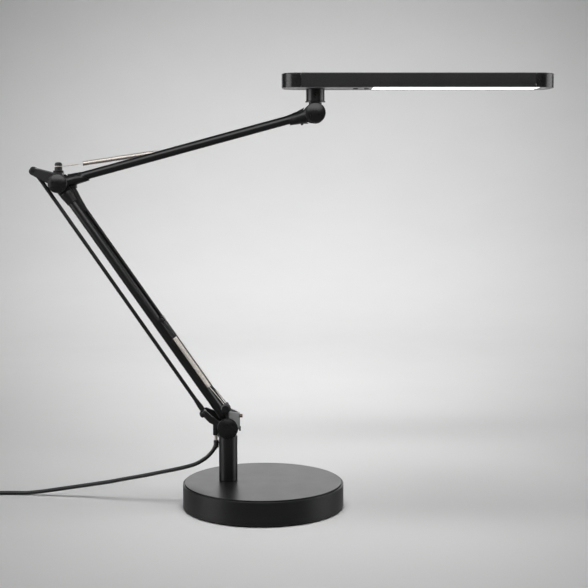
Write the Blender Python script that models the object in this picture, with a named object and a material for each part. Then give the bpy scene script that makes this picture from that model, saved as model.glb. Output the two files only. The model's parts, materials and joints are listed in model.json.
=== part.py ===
"""Spring-balanced LED desk lamp, in metres, +Z up, standing on Z = 0.

The origin is the centre of the base's resting face. The arm works in the vertical plane Y = ARM_Y, with the
bar head to the +X side. Each moving group hangs from an empty on its joint's axis.
"""

import math

import bmesh
import bpy
from mathutils import Matrix, Vector
from mathutils.geometry import interpolate_bezier

# ---------------------------------------------------------------- driving dimensions
GAP = 0.0003  # clearance between neighbouring solids

BASE_RADIUS = 0.100
BASE_TOP = 0.032
COVER_WALL = 0.0025
COVER_FOOT = 0.0015  # the cover stops this far above the table
PAD_RADIUS = 0.096
WEIGHT_RADIUS = 0.082

ARM_Y = 0.004  # plane of the arm
POLE_X = -0.0436
POLE_RADIUS = 0.01115
POLE_TOP = 0.0885

LOWER_PIVOT = (-0.0436, 0.1010)  # X and Z of the three pivots
ELBOW_PIVOT = (-0.2487, 0.4023)
HEAD_PIVOT = (0.0643, 0.4873)
LINK = (-0.0310, 0.0160)  # from a pivot to the parallel rod's pivot beside it

LOWER_TUBE_RADIUS = 0.0064
LOWER_TUBE_BORE = 0.0054
LOWER_TUBE_SHIFT = 0.0028  # the tube passes this far in front of the lower pivot
CABLE_RADIUS = 0.0019
CABLE_OFFSET = LOWER_TUBE_RADIUS + CABLE_RADIUS + GAP  # from the tube's axis to the cable's
UPPER_TUBE_RADIUS = 0.0052
UPPER_TUBE_BORE = 0.0044
ROD_RADIUS = 0.0022

BOLT_RADIUS = 0.0030
BOLT_BORE = 0.0031
CORE_HALF = 0.0090  # half widths, outwards from the arm's plane
PLATE_IN = 0.0094
PLATE_OUT = 0.0132
LEVER_IN = 0.0056
LEVER_OUT = 0.0091
SLEEVE_HALF = 0.0052
CAP_IN = 0.0135
CAP_RADII = {"lower": 0.0127, "elbow": 0.0118, "head": 0.0124}

SPRING_RADIUS = 0.0027
SPRING_WIRE = 0.0007
SPRING_Y = 0.0146  # the lower springs' hooks, outside the bracket's plates
COIL_Y = 0.0108  # their coils, close beside the tube
ANCHOR = (-0.0461, 0.1253)
LOWER_SPRING = ((-0.0495, 0.1302), (-0.0650, 0.1525), (-0.1078, 0.2145))  # hook, coil end, coil end
ADJUSTER = ((-0.1082, 0.2152), (-0.1206, 0.2330))
CARRIER_PIN = (-0.1226, 0.2360)
UPPER_SPRING = ((-0.2436, 0.0059, 0.4243), (-0.2197, 0.0064, 0.4275), (-0.1290, 0.0092, 0.4399))
UPPER_SPRING_END = (-0.0958, 0.0100, 0.4445)

HEAD_LEFT = 0.0231
HEAD_RIGHT = 0.3517
HEAD_HALF = 0.0325
HEAD_BOTTOM = 0.5168
HEAD_TOP = 0.5341
HEAD_CORNER = 0.0225
HEAD_WALL = 0.0022
HEAD_EDGE = 0.0014
PANEL = (0.5171, 0.5185)  # bottom and top of the underside panel
WINDOW = (0.1338, 0.3330, 0.0258)  # light window: left, right, half depth
BUTTONS = {"power_button": 0.1132, "dimmer_button": 0.1266}

CORD_RADIUS = 0.0025
CORD_ROUTE = (  # from the strain relief down to the table and along it
    (-0.0612, 0.0040, 0.0718),
    (-0.0631, 0.0041, 0.0690),
    (-0.0655, 0.0043, 0.0660),
    (-0.0685, 0.0046, 0.0628),
    (-0.0722, 0.0051, 0.0596),
    (-0.0762, 0.0058, 0.0567),
    (-0.0815, 0.0068, 0.0533),
    (-0.0880, 0.0080, 0.0503),
    (-0.0990, 0.0103, 0.0467),
    (-0.1100, 0.0127, 0.0437),
    (-0.1308, 0.0178, 0.0383),
    (-0.1498, 0.0225, 0.0334),
    (-0.1766, 0.0294, 0.0271),
    (-0.2003, 0.0350, 0.0215),
    (-0.2363, 0.0432, 0.0143),
    (-0.2715, 0.0493, 0.0078),
    (-0.2897, 0.0518, 0.0047),
    (-0.3070, 0.0534, 0.0027),
    (-0.3230, 0.0540, 0.0026),
    (-0.3417, 0.0540, 0.0026),
    (-0.3703, 0.0540, 0.0026),
)
COIL_CENTRE = (-0.3900, 0.0206)
COIL_RADIUS = 0.0283  # middle of the turns
COIL_HALF = 0.0079  # half width of the bundle of turns
COIL_HEIGHT = 0.0158
PLUG_TAIL = (-0.4234, 0.0003, 0.0126)  # the plug leans on its nose beside the coil
PLUG_SLOPE = math.radians(8)

COLOURS = {  # base colour, roughness, metallic
    "black_metal": ((0.012, 0.012, 0.013), 0.42, 0.55),
    "black_plastic": ((0.014, 0.014, 0.015), 0.50, 0.0),
    "head_metal": ((0.020, 0.020, 0.021), 0.46, 0.4),
    "base_paint": ((0.018, 0.018, 0.019), 0.45, 0.3),
    "spring_steel": ((0.62, 0.57, 0.50), 0.28, 1.0),
    "zinc_steel": ((0.55, 0.54, 0.52), 0.32, 1.0),
    "brass_bush": ((0.62, 0.44, 0.18), 0.35, 1.0),
    "cast_weight": ((0.11, 0.11, 0.12), 0.75, 0.8),
    "rubber": ((0.010, 0.010, 0.010), 0.85, 0.0),
    "cord_rubber": ((0.010, 0.010, 0.011), 0.55, 0.0),
    "panel_grey": ((0.30, 0.30, 0.31), 0.50, 0.0),
    "diffuser": ((0.95, 0.96, 0.98), 0.35, 0.0),
    "board": ((0.80, 0.81, 0.80), 0.45, 0.0),
}


# ---------------------------------------------------------------- building helpers
def clear_scene():
    """Remove every object."""
    for old in list(bpy.data.objects):
        bpy.data.objects.remove(old, do_unlink=True)


def paint(obj, look):
    """Give an object its own Principled material."""
    colour, roughness, metallic = COLOURS[look]
    mat = bpy.data.materials.new(obj.name + "." + look)
    mat.use_nodes = True
    shader = mat.node_tree.nodes["Principled BSDF"]
    shader.inputs["Base Color"].default_value = (*colour, 1.0)
    shader.inputs["Roughness"].default_value = roughness
    shader.inputs["Metallic"].default_value = metallic
    obj.data.materials.append(mat)


def finish_mesh(name, bm, parent, look):
    """Turn a bmesh in world coordinates into an object under its parent empty."""
    bmesh.ops.recalc_face_normals(bm, faces=bm.faces)
    mesh = bpy.data.meshes.new(name)
    bm.to_mesh(mesh)
    bm.free()
    obj = bpy.data.objects.new(name, mesh)
    bpy.context.collection.objects.link(obj)
    if look is None:
        obj.hide_render = True
        obj.display_type = "WIRE"
    else:
        paint(obj, look)
    mesh.shade_smooth()
    mesh.set_sharp_from_angle(angle=math.radians(35))
    if parent is not None:
        mesh.transform(Matrix.Translation(-parent.location))
        obj.parent = parent
    return obj


def axis_frame(direction):
    """Rotation that carries +Z to a direction."""
    return Vector(direction).to_track_quat("Z", "Y").to_matrix()


def lathe(name, profile, parent=None, look=None, base=(0, 0, 0), direction=(0, 0, 1), sides=32):
    """Closed profile of (radius, height) turned about an axis; radius 0 makes a pole."""
    bm = bmesh.new()
    turn = axis_frame(direction)
    base = Vector(base)
    rings = []
    for radius, height in profile:
        count = 1 if radius == 0 else sides
        ring = []
        for i in range(count):
            a = 2 * math.pi * i / sides
            point = Vector((radius * math.cos(a), radius * math.sin(a), height))
            ring.append(bm.verts.new(base + turn @ point))
        rings.append(ring)
    for k, ring in enumerate(rings):
        after = rings[(k + 1) % len(rings)]
        if len(ring) == 1 and len(after) == 1:
            continue
        for i in range(sides):
            j = (i + 1) % sides
            corners = [ring[i % len(ring)], ring[j % len(ring)], after[j % len(after)], after[i % len(after)]]
            face = list(dict.fromkeys(corners))
            bm.faces.new(face)
    return finish_mesh(name, bm, parent, look)


def loft(name, rings, parent=None, look=None):
    """Closed solid through rings of equally many points, capped at both ends."""
    bm = bmesh.new()
    loops = [[bm.verts.new(Vector(p)) for p in ring] for ring in rings]
    for lower, upper in zip(loops, loops[1:]):
        for i in range(len(lower)):
            j = (i + 1) % len(lower)
            bm.faces.new((lower[i], lower[j], upper[j], upper[i]))
    bm.faces.new(loops[0])
    bm.faces.new(loops[-1])
    return finish_mesh(name, bm, parent, look)


def arm_point(x, z, y=0.0):
    """Point at a sideways distance from the arm's plane."""
    return Vector((x, ARM_Y + y, z))


def plate(name, outline, y_from, y_to, parent=None, look=None):
    """Flat plate: an outline in X and Z between two distances from the arm's plane."""
    return loft(name, [[arm_point(x, z, y) for x, z in outline] for y in (y_from, y_to)], parent, look)


def box(name, low, high, parent=None, look=None):
    """Box between two corners."""
    ring = ((low[0], low[1]), (high[0], low[1]), (high[0], high[1]), (low[0], high[1]))
    return loft(name, [[(x, y, z) for x, y in ring] for z in (low[2], high[2])], parent, look)


def pin_y(name, centre, profile, parent=None, look=None, sides=24):
    """Profile of (radius, Y) turned about an axis along Y through a pivot."""
    return lathe(name, profile, parent, look, arm_point(*centre), (0, 1, 0), sides)


def rod_profile(radius, low, high):
    """Plain cylinder from low to high."""
    return [(0, low), (radius, low), (radius, high), (0, high)]


def tube_profile(radius, bore, low, high):
    """Plain tube from low to high."""
    return [(bore, low), (radius, low), (radius, high), (bore, high)]


def arc(centre, radius, start, stop, steps):
    """Points of an arc in X and Z, angles in degrees from +X towards +Z."""
    points = []
    for i in range(steps + 1):
        a = math.radians(start + (stop - start) * i / steps)
        points.append((centre[0] + radius * math.cos(a), centre[1] + radius * math.sin(a)))
    return points


def tapered_link(a, radius_a, b, radius_b, steps=9):
    """Outline around two circles and their outer tangents."""
    run = Vector(b) - Vector(a)
    heading = math.degrees(math.atan2(run.y, run.x))
    lean = math.degrees(math.asin((radius_a - radius_b) / run.length))
    far = arc(b, radius_b, heading - 90 + lean, heading + 90 - lean, steps)
    near = arc(a, radius_a, heading + 90 - lean, heading + 270 + lean, steps)
    return far + near


def combine(target, others, operation):
    """Boolean operation with helper solids, which stay out of the model."""
    for other in others:
        step = target.modifiers.new(operation.lower(), "BOOLEAN")
        step.operation = operation
        step.solver = "EXACT"
        step.object = other
    return target


def add(target, *others):
    """Union of solids."""
    return combine(target, others, "UNION")


def cut(target, *others):
    """Cut solids away."""
    return combine(target, others, "DIFFERENCE")


def empty(name, location, parent=None):
    """Empty on a joint's axis."""
    obj = bpy.data.objects.new(name, None)
    bpy.context.collection.objects.link(obj)
    obj.location = location
    if parent is not None:
        obj.parent = parent
        obj.matrix_parent_inverse = Matrix.Translation(-parent.location)
    return obj


def along(a, b):
    """Unit vector in X and Z from one pivot to another, and the one square to it, to its upper right."""
    run = (Vector(b) - Vector(a)).normalized()
    return run, Vector((run.y, -run.x))


def offset(point, run, square, forward, sideways=0.0):
    """Point a distance forward along an arm and sideways from it."""
    return (
        point[0] + run.x * forward + square.x * sideways,
        point[1] + run.y * forward + square.y * sideways,
    )


def smooth_route(route, spacing):
    """Evenly spaced points on the smooth curve through a route."""
    points = [Vector(p) for p in route]
    ends = [2 * points[0] - points[1]] + points + [2 * points[-1] - points[-2]]
    fine = []
    for before, a, b, after in zip(ends, ends[1:], ends[2:], ends[3:]):
        fine += interpolate_bezier(a, a + (b - before) / 6, b - (after - a) / 6, b, 13)[:-1]
    fine.append(points[-1])
    length = sum((q - p).length for p, q in zip(fine, fine[1:]))
    count = max(2, round(length / spacing))
    out = [fine[0]]
    walked = 0.0
    for p, q in zip(fine, fine[1:]):
        step = (q - p).length
        while len(out) < count and walked + step >= length * len(out) / count:
            share = (length * len(out) / count - walked) / step
            out.append(p.lerp(q, share))
        walked += step
    out.append(fine[-1])
    return out


def cable(name, route, radius, spacing, parent, look, resolution=2):
    """Round cable: a curve with a bevel and filled caps."""
    curve = bpy.data.curves.new(name, "CURVE")
    curve.dimensions = "3D"
    curve.bevel_depth = radius
    curve.bevel_resolution = resolution
    curve.use_fill_caps = True
    line = curve.splines.new("POLY")
    points = smooth_route(route, spacing)
    line.points.add(len(points) - 1)
    for slot, point in zip(line.points, points):
        slot.co = (*(point - parent.location), 1.0)
    obj = bpy.data.objects.new(name, curve)
    bpy.context.collection.objects.link(obj)
    obj.parent = parent
    paint(obj, look)
    return obj


# ---------------------------------------------------------------- parts that repeat
def pivot_bolt(name, pivot, parent):
    """Bolt and nut through a pivot, hidden under the caps."""
    head = 0.0056
    tip = CAP_IN + 0.0028
    profile = [
        (0, -tip),
        (head, -tip),
        (head, -CAP_IN),
        (BOLT_RADIUS, -CAP_IN),
        (BOLT_RADIUS, CAP_IN),
        (head, CAP_IN),
        (head, tip),
        (0, tip),
    ]
    return pin_y(name, pivot, profile, parent, "zinc_steel", 16)


def pivot_cap(name, pivot, radius, side, parent):
    """Domed cap over a bolt end, on the near side (-1) or the far side (+1)."""
    pocket = 0.0062
    profile = [
        (pocket, CAP_IN),
        (radius - 0.0006, CAP_IN),
        (radius, CAP_IN + 0.0006),
        (radius, CAP_IN + 0.0022),
        (radius * 0.90, CAP_IN + 0.0032),
        (0, CAP_IN + 0.0046),
        (0, CAP_IN + 0.0034),
        (pocket, CAP_IN + 0.0034),
    ]
    return lathe(name, profile, parent, "black_plastic", arm_point(*pivot), (0, side, 0), 24)


def bore(pivot, radius, reach=0.05):
    """Cutter for a hole along Y."""
    return pin_y("bore", pivot, rod_profile(radius, -reach, reach), sides=16)


def ribbed(name, start, stop, radius, depth, ribs, parent, look, wire_start=None, wire_stop=None):
    """Ribbed rod between two points, with an optional thin wire tail at each end."""
    start = Vector(start)
    run = Vector(stop) - start
    length = run.length
    profile = [(0, -(start - Vector(wire_start)).length)] if wire_start else [(0, 0.0)]
    if wire_start:
        profile += [(SPRING_WIRE, profile[0][1]), (SPRING_WIRE, 0.0)]
    pitch = length / ribs
    profile.append((radius - depth, 0.0))
    for i in range(ribs):
        profile.append((radius, pitch * (i + 0.3)))
        profile.append((radius, pitch * (i + 0.7)))
        profile.append((radius - depth, pitch * (i + 1)))
    if wire_stop:
        tail = length + (Vector(wire_stop) - Vector(stop)).length
        profile += [(SPRING_WIRE, length), (SPRING_WIRE, tail), (0, tail)]
    else:
        profile.append((0, length))
    return lathe(name, profile, parent, look, start, run, 8)


# ---------------------------------------------------------------- base, pole and cord
def make_base(root):
    """Base cover, weight, pad, pole with its bolt and swivel bush."""
    inner = BASE_RADIUS - COVER_WALL
    ceiling = BASE_TOP - 0.003
    edge = 0.0014
    cover = lathe(
        "base_cover",
        [
            (0, ceiling),
            (inner, ceiling),
            (inner, COVER_FOOT),
            (BASE_RADIUS, COVER_FOOT),
            (BASE_RADIUS, BASE_TOP - edge),
            (BASE_RADIUS - edge, BASE_TOP),
            (0, BASE_TOP),
        ],
        root,
        "base_paint",
        sides=48,
    )
    pole_foot = (POLE_X, ARM_Y, 0)
    cut(cover, lathe("cover_hole", rod_profile(0.0045, 0.02, 0.05), base=pole_foot))

    weight_low = 0.0045
    weight = lathe(
        "base_weight", rod_profile(WEIGHT_RADIUS, weight_low, 0.0285), root, "cast_weight", sides=36
    )
    pocket = [(0, 0), (0.0085, 0), (0.0085, 0.0125), (0.0048, 0.0125), (0.0048, 0.05), (0, 0.05)]
    cut(weight, lathe("weight_pocket", pocket, base=pole_foot))

    lathe("base_pad", rod_profile(PAD_RADIUS, 0.0, 0.0040), root, "rubber", sides=40)

    block_top = 0.0443
    foot = BASE_TOP + GAP
    lathe(
        "pole",
        [
            (0.0044, foot),
            (POLE_RADIUS, foot),
            (POLE_RADIUS, POLE_TOP - 0.0003),
            (POLE_RADIUS - 0.0003, POLE_TOP),
            (0.0088, POLE_TOP),
            (0.0088, block_top),
            (0.0044, block_top),
        ],
        root,
        "black_metal",
        pole_foot,
        sides=24,
    )
    lathe(
        "pole_bolt",
        [(0, 0.0055), (0.0075, 0.0055), (0.0075, 0.0120), (0.0040, 0.0120), (0.0040, 0.0480), (0, 0.0480)],
        root,
        "zinc_steel",
        pole_foot,
        sides=20,
    )
    lathe("swivel_bush", tube_profile(0.0085, 0.0056, 0.060, 0.0882), root, "brass_bush", pole_foot, sides=20)


def make_cord(root):
    """Clip on the pole, strain relief, lead up to the bracket, free cord, coil and plug."""
    exit_x = -0.0588
    clip_low = 0.0765
    clip_high = 0.0828
    box(
        "cord_clip",
        (exit_x - 0.0037, ARM_Y - 0.0042, clip_low),
        (POLE_X - POLE_RADIUS - GAP, ARM_Y + 0.0042, clip_high),
        root,
        "black_plastic",
    )
    start = Vector(CORD_ROUTE[0])
    relief_top = Vector((exit_x, ARM_Y, clip_low - 2 * GAP))
    run = relief_top - start
    relief = lathe(
        "strain_relief",
        [
            (0, GAP),
            (CORD_RADIUS + 0.0002, GAP),
            (CORD_RADIUS + 0.0007, run.length * 0.6),
            (CORD_RADIUS + 0.0010, run.length + 0.002),
            (0, run.length + 0.002),
        ],
        root,
        "cord_rubber",
        start,
        run,
        16,
    )
    trim = clip_low - GAP
    cut(relief, box("relief_trim", (-0.1, -0.1, trim), (0.0, 0.1, trim + 0.02)))
    lead = rod_profile(0.0020, clip_high + GAP, 0.0894)
    lathe("swivel_lead", lead, root, "cord_rubber", (exit_x, ARM_Y, 0), sides=12)

    cable("cord_tube", CORD_ROUTE, CORD_RADIUS, 0.0060, root, "cord_rubber")
    corner = CORD_RADIUS
    inner = COIL_RADIUS - COIL_HALF
    outer = COIL_RADIUS + COIL_HALF
    ring = [
        (inner, corner),
        (inner + corner, 0.0),
        (outer - corner, 0.0),
        (outer, corner),
        (outer, COIL_HEIGHT - corner),
        (outer - corner, COIL_HEIGHT),
        (inner + corner, COIL_HEIGHT),
        (inner, COIL_HEIGHT - corner),
    ]
    lathe("cord_coil", ring, root, "cord_rubber", (*COIL_CENTRE, 0), sides=28)

    heading = Vector((0, -math.cos(PLUG_SLOPE), -math.sin(PLUG_SLOPE)))
    body_end = 0.040
    pin_end = 0.059
    pin_radius = 0.0020
    pin_spacing = 0.0070
    lathe(
        "plug_body",
        [
            (0, 0.0),
            (CORD_RADIUS + 0.0004, 0.0),
            (CORD_RADIUS + 0.0012, 0.012),
            (0.0066, 0.015),
            (0.0070, 0.036),
            (0.0058, body_end),
            (0, body_end),
        ],
        root,
        "black_plastic",
        PLUG_TAIL,
        heading,
        20,
    )
    for label, side in (("a", -1), ("b", 1)):
        pin = rod_profile(pin_radius, body_end + GAP, pin_end)
        centre = Vector(PLUG_TAIL) + Vector((side * pin_spacing / 2, 0, 0))
        lathe("plug_pin_" + label, pin, root, "zinc_steel", centre, heading, 12)


# ---------------------------------------------------------------- swivel bracket
def spring_anchor(name, side, bracket):
    """Grooved knob in the bracket's plate that one lower spring hooks on to."""
    knob, neck = (0.0060, 0.0034) if side < 0 else (0.0036, 0.0026)
    stem = 0.0021
    groove = SPRING_Y - 0.0005
    outer = SPRING_Y + 0.0042
    profile = [
        (0, PLATE_IN + GAP),
        (stem, PLATE_IN + GAP),
        (stem, PLATE_OUT + GAP),
        (neck, PLATE_OUT + GAP),
        (neck, groove),
        (knob, groove + 0.0014),
        (knob, outer - 0.0012),
        (knob - 0.0012, outer),
        (0, outer),
    ]
    lathe(name, profile, bracket, "black_metal", arm_point(*ANCHOR), (0, side, 0), 18)


def make_bracket(bracket):
    """Forked bracket on the pole with the rod's ear, the spring anchor and the lower pivot."""
    px, pz = LOWER_PIVOT
    ear = (px + LINK[0], pz + LINK[1])
    shared = arc(ear, 0.0046, 62, 238, 9)
    shared += [(-0.0664, 0.1070), (-0.0580, 0.1030)]
    shared += arc(LOWER_PIVOT, 0.0120, 205, 320, 7)
    shared += [(-0.0290, 0.0965), (-0.0290, 0.1172), (-0.0308, 0.1186), (-0.0395, 0.1212)]
    outlines = {}
    for label, lobe in (("near", 0.0056), ("far", 0.0038)):
        outlines[label] = shared + arc(ANCHOR, lobe, -10, 190, 8) + [(-0.0560, 0.1160)]
    near = plate("bracket", outlines["near"], -PLATE_OUT, -PLATE_IN, bracket, "black_metal")
    far = plate("bracket_far_plate", outlines["far"], PLATE_IN, PLATE_OUT)
    deck = 0.0889
    inside = PLATE_OUT - 0.0002
    floor = box(
        "bracket_floor",
        (-0.0563, ARM_Y - inside, deck),
        (-0.0294, ARM_Y + inside, pz - 0.0085 - GAP),
    )
    web = box("bracket_web", (-0.0322, ARM_Y - inside, 0.0900), (-0.0292, ARM_Y + inside, 0.1140))
    pin = lathe("bracket_pin", rod_profile(0.0055, 0.0640, 0.0905), base=(POLE_X, ARM_Y, 0), sides=24)
    add(near, far, floor, web, pin)
    cut(near, bore(LOWER_PIVOT, BOLT_BORE), bore(ear, 0.0022), bore(ANCHOR, 0.0024))

    head = 0.0032
    ear_pin = [
        (0, -PLATE_OUT - 0.0011),
        (head, -PLATE_OUT - 0.0011),
        (head, -PLATE_OUT - GAP),
        (0.0019, -PLATE_OUT - GAP),
        (0.0019, PLATE_OUT + GAP),
        (head, PLATE_OUT + GAP),
        (head, PLATE_OUT + 0.0011),
        (0, PLATE_OUT + 0.0011),
    ]
    pin_y("ear_pin", ear, ear_pin, bracket, "black_metal", 16)

    for label, side in (("near", -1), ("far", 1)):
        spring_anchor("spring_anchor_" + label, side, bracket)

    block_half = 0.0060
    box(
        "cable_block",
        (-0.0624, ARM_Y - block_half, 0.0898),
        (-0.0566, ARM_Y + block_half, 0.1048),
        bracket,
        "black_plastic",
    )
    lathe(
        "lug_screw",
        [
            (0, 0.0),
            (0.0014, 0.0),
            (0.0014, 0.0012),
            (0.0022, 0.0014),
            (0.0022, 0.0032),
            (0.0015, 0.0038),
            (0, 0.0038),
        ],
        bracket,
        "zinc_steel",
        (-0.0289, ARM_Y - 0.0113, 0.1152),
        (1, 0, 0),
        14,
    )
    pivot_bolt("lower_pivot_bolt", LOWER_PIVOT, bracket)
    for label, side in (("near", -1), ("far", 1)):
        pivot_cap("lower_cap_" + label, LOWER_PIVOT, CAP_RADII["lower"], side, bracket)


# ---------------------------------------------------------------- lower arm
def lower_frame():
    """Start and end of the lower tube's axis, and its directions."""
    run, square = along(LOWER_PIVOT, ELBOW_PIVOT)
    start = offset(LOWER_PIVOT, run, square, 0.0, LOWER_TUBE_SHIFT)
    return start, *along(start, ELBOW_PIVOT)


def make_lower_arm(arm):
    """Knuckle, tube, elbow sleeve, springs with their adjusters and carrier, and the cable."""
    start, run, square = lower_frame()
    length = (Vector(ELBOW_PIVOT) - Vector(start)).length
    axis = (run.x, 0, run.y)
    origin = arm_point(*start)

    barrel = rod_profile(0.0085, -CORE_HALF, CORE_HALF)
    knuckle = pin_y("lower_knuckle", LOWER_PIVOT, barrel, arm, "black_metal", 28)
    stub = lathe("lower_stub", rod_profile(0.0051, 0.0015, 0.034), base=origin, direction=axis, sides=20)
    add(knuckle, stub)
    cut(knuckle, bore(LOWER_PIVOT, BOLT_BORE))

    tube_end = length - 0.0290
    profile = tube_profile(LOWER_TUBE_RADIUS, LOWER_TUBE_BORE, 0.0135, tube_end)
    lathe("lower_tube", profile, arm, "black_metal", origin, axis, 28)

    neck = offset(ELBOW_PIVOT, run, square, -0.0165)
    core = plate(
        "elbow_sleeve",
        tapered_link(ELBOW_PIVOT, 0.0088, neck, 0.0080),
        -SLEEVE_HALF,
        SLEEVE_HALF,
        arm,
        "black_metal",
    )
    cone = lathe(
        "elbow_cone",
        [
            (0, 0.0138),
            (0.0086, 0.0138),
            (0.0086, 0.0175),
            (0.0072, 0.0287),
            (0.0051, 0.0287),
            (0.0051, 0.046),
            (0, 0.046),
        ],
        base=arm_point(*ELBOW_PIVOT),
        direction=(-run.x, 0, -run.y),
        sides=28,
    )
    add(core, cone)
    cut(core, bore(ELBOW_PIVOT, BOLT_BORE))

    make_lower_springs(arm, start, run, square)
    side = CABLE_OFFSET
    route = [
        offset(start, run, square, 0.024, side),
        offset(start, run, square, 0.060, side),
        offset(start, run, square, 0.180, side),
        offset(start, run, square, 0.280, side),
        offset(start, run, square, length - 0.040, side + 0.0006),
        offset(start, run, square, length - 0.0245, side + 0.0032),
    ]
    cable("arm_cable", [arm_point(*p) for p in route], CABLE_RADIUS, 0.0080, arm, "cord_rubber")


def make_lower_springs(arm, start, run, square):
    """Two springs beside the arm, from the bracket's anchor to a pin carrier on the tube."""
    reach = (Vector(CARRIER_PIN) - Vector(start)).dot(run)
    low = LOWER_TUBE_RADIUS + GAP
    corners = [(-0.0050, low), (0.0050, low), (0.0030, 0.0112), (-0.0030, 0.0112)]
    outline = [offset(start, run, square, reach + f, s) for f, s in corners]
    carrier = plate("spring_carrier", outline, -0.0048, 0.0048, arm, "black_metal")
    pin = pin_y("carrier_pin", CARRIER_PIN, rod_profile(0.0014, -0.0134, 0.0134), sides=14)
    add(carrier, pin)
    slot = lathe(
        "cable_slot",
        rod_profile(CABLE_RADIUS + GAP, 0.10, 0.22),
        base=arm_point(*offset(start, run, square, 0.0, CABLE_OFFSET)),
        direction=(run.x, 0, run.y),
        sides=12,
    )
    cut(carrier, slot)
    hook, coil_low, coil_high = LOWER_SPRING
    for label, side in (("near", -1), ("far", 1)):
        y = side * COIL_Y
        ribbed(
            "lower_spring_" + label,
            arm_point(*coil_low, y),
            arm_point(*coil_high, y),
            SPRING_RADIUS,
            0.0005,
            8,
            arm,
            "spring_steel",
            wire_start=arm_point(*hook, side * SPRING_Y),
        )
        ribbed(
            "spring_adjuster_" + label,
            arm_point(*ADJUSTER[0], y),
            arm_point(*ADJUSTER[1], y),
            0.0024,
            0.0005,
            5,
            arm,
            "black_metal",
        )


def make_rod(rod):
    """Parallel rod with an eye at each end."""
    lower = (LOWER_PIVOT[0] + LINK[0], LOWER_PIVOT[1] + LINK[1])
    upper = (ELBOW_PIVOT[0] + LINK[0], ELBOW_PIVOT[1] + LINK[1])
    run = along(lower, upper)[0]
    length = (Vector(upper) - Vector(lower)).length
    taper = [
        (0, 0.0032),
        (0.0034, 0.0032),
        (0.0033, 0.0080),
        (ROD_RADIUS, 0.0200),
        (ROD_RADIUS, length - 0.0140),
        (0.0028, length - 0.0032),
        (0, length - 0.0032),
    ]
    bar = lathe("parallel_rod", taper, rod, "black_metal", arm_point(*lower), (run.x, 0, run.y), 20)
    for eye, radius in ((lower, 0.0044), (upper, 0.0042)):
        add(bar, pin_y("rod_eye", eye, rod_profile(radius, -0.0050, 0.0050), sides=20))
    cut(bar, bore(lower, 0.0020), bore(upper, 0.0024))


# ---------------------------------------------------------------- elbow lever plate
def make_elbow(elbow):
    """Lever with two cheeks, the rod's upper pin and the spring post."""
    px, pz = ELBOW_PIVOT
    eye = (px + LINK[0], pz + LINK[1])
    outline = tapered_link(ELBOW_PIVOT, 0.0110, eye, 0.0043)
    lever = plate("elbow_lever", outline, -LEVER_OUT, -LEVER_IN, elbow, "black_metal")
    far = plate("elbow_far_cheek", outline, LEVER_IN, LEVER_OUT)
    inside = LEVER_OUT - 0.0002
    bridge_low = pz + 0.0104
    bridge_high = pz + 0.0128
    bridge = box(
        "elbow_bridge",
        (px - 0.0070, ARM_Y - inside, bridge_low),
        (px + 0.0052, ARM_Y + inside, bridge_high),
    )
    add(lever, far, bridge)
    cut(lever, bore(ELBOW_PIVOT, BOLT_BORE), bore(eye, 0.0022))

    post = [
        (0, 0.0),
        (0.0062, 0.0),
        (0.0064, 0.0034),
        (0.0047, 0.0038),
        (0.0047, 0.0074),
        (0.0040, 0.0080),
        (0.0040, 0.0092),
        (0.0047, 0.0098),
        (0.0044, 0.0118),
        (0.0028, 0.0132),
        (0, 0.0136),
    ]
    lathe("spring_post", post, elbow, "black_metal", (px - 0.0008, ARM_Y, bridge_high + GAP), sides=24)

    head = 0.0030
    rod_pin = [
        (0, -LEVER_OUT - 0.0010),
        (head, -LEVER_OUT - 0.0010),
        (head, -LEVER_OUT - GAP),
        (0.0019, -LEVER_OUT - GAP),
        (0.0019, LEVER_OUT + GAP),
        (head, LEVER_OUT + GAP),
        (head, LEVER_OUT + 0.0010),
        (0, LEVER_OUT + 0.0010),
    ]
    pin_y("rod_pin", eye, rod_pin, elbow, "black_metal", 16)


# ---------------------------------------------------------------- upper arm
def forked_sleeve(name, pivot, inward, square, cheek_radius, neck, sleeve, parent):
    """Fork around a pivot that narrows into a sleeve and a stub inside the tube.

    inward points from the pivot into the arm; neck is (distance, half height) where the cheeks join, and
    sleeve lists (distance, radius) of the turned part behind it.
    """
    reach, half = neck
    joint = offset(pivot, inward, square, reach)
    outline = tapered_link(pivot, cheek_radius, joint, half)
    fork = plate(name, outline, -PLATE_OUT, -PLATE_IN, parent, "black_metal")
    far = plate(name + "_far_cheek", outline, PLATE_IN, PLATE_OUT)
    crotch = reach - 0.0020
    widths = (
        (crotch, PLATE_OUT - 0.0002),
        (reach + 0.0020, PLATE_OUT - 0.0002),
        (reach + 0.0095, 0.0066),
    )
    plan = [(f, w) for f, w in widths] + [(f, -w) for f, w in reversed(widths)]
    rings = []
    for s in (-half * 0.92, half * 0.92):
        rings.append([arm_point(*offset(pivot, inward, square, f, s), w) for f, w in plan])
    yoke = loft(name + "_yoke", rings)
    first, last = sleeve[0][0], sleeve[-1][0]
    stub = UPPER_TUBE_BORE - GAP
    stub_end = last + 0.014
    profile = [(0, first)] + [(r, d) for d, r in sleeve] + [(stub, last), (stub, stub_end), (0, stub_end)]
    turned = lathe(
        name + "_sleeve",
        profile,
        base=arm_point(*pivot),
        direction=(inward.x, 0, inward.y),
        sides=28,
    )
    add(fork, far, yoke, turned)
    cut(fork, bore(pivot, BOLT_RADIUS + GAP / 2))
    return fork


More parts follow.
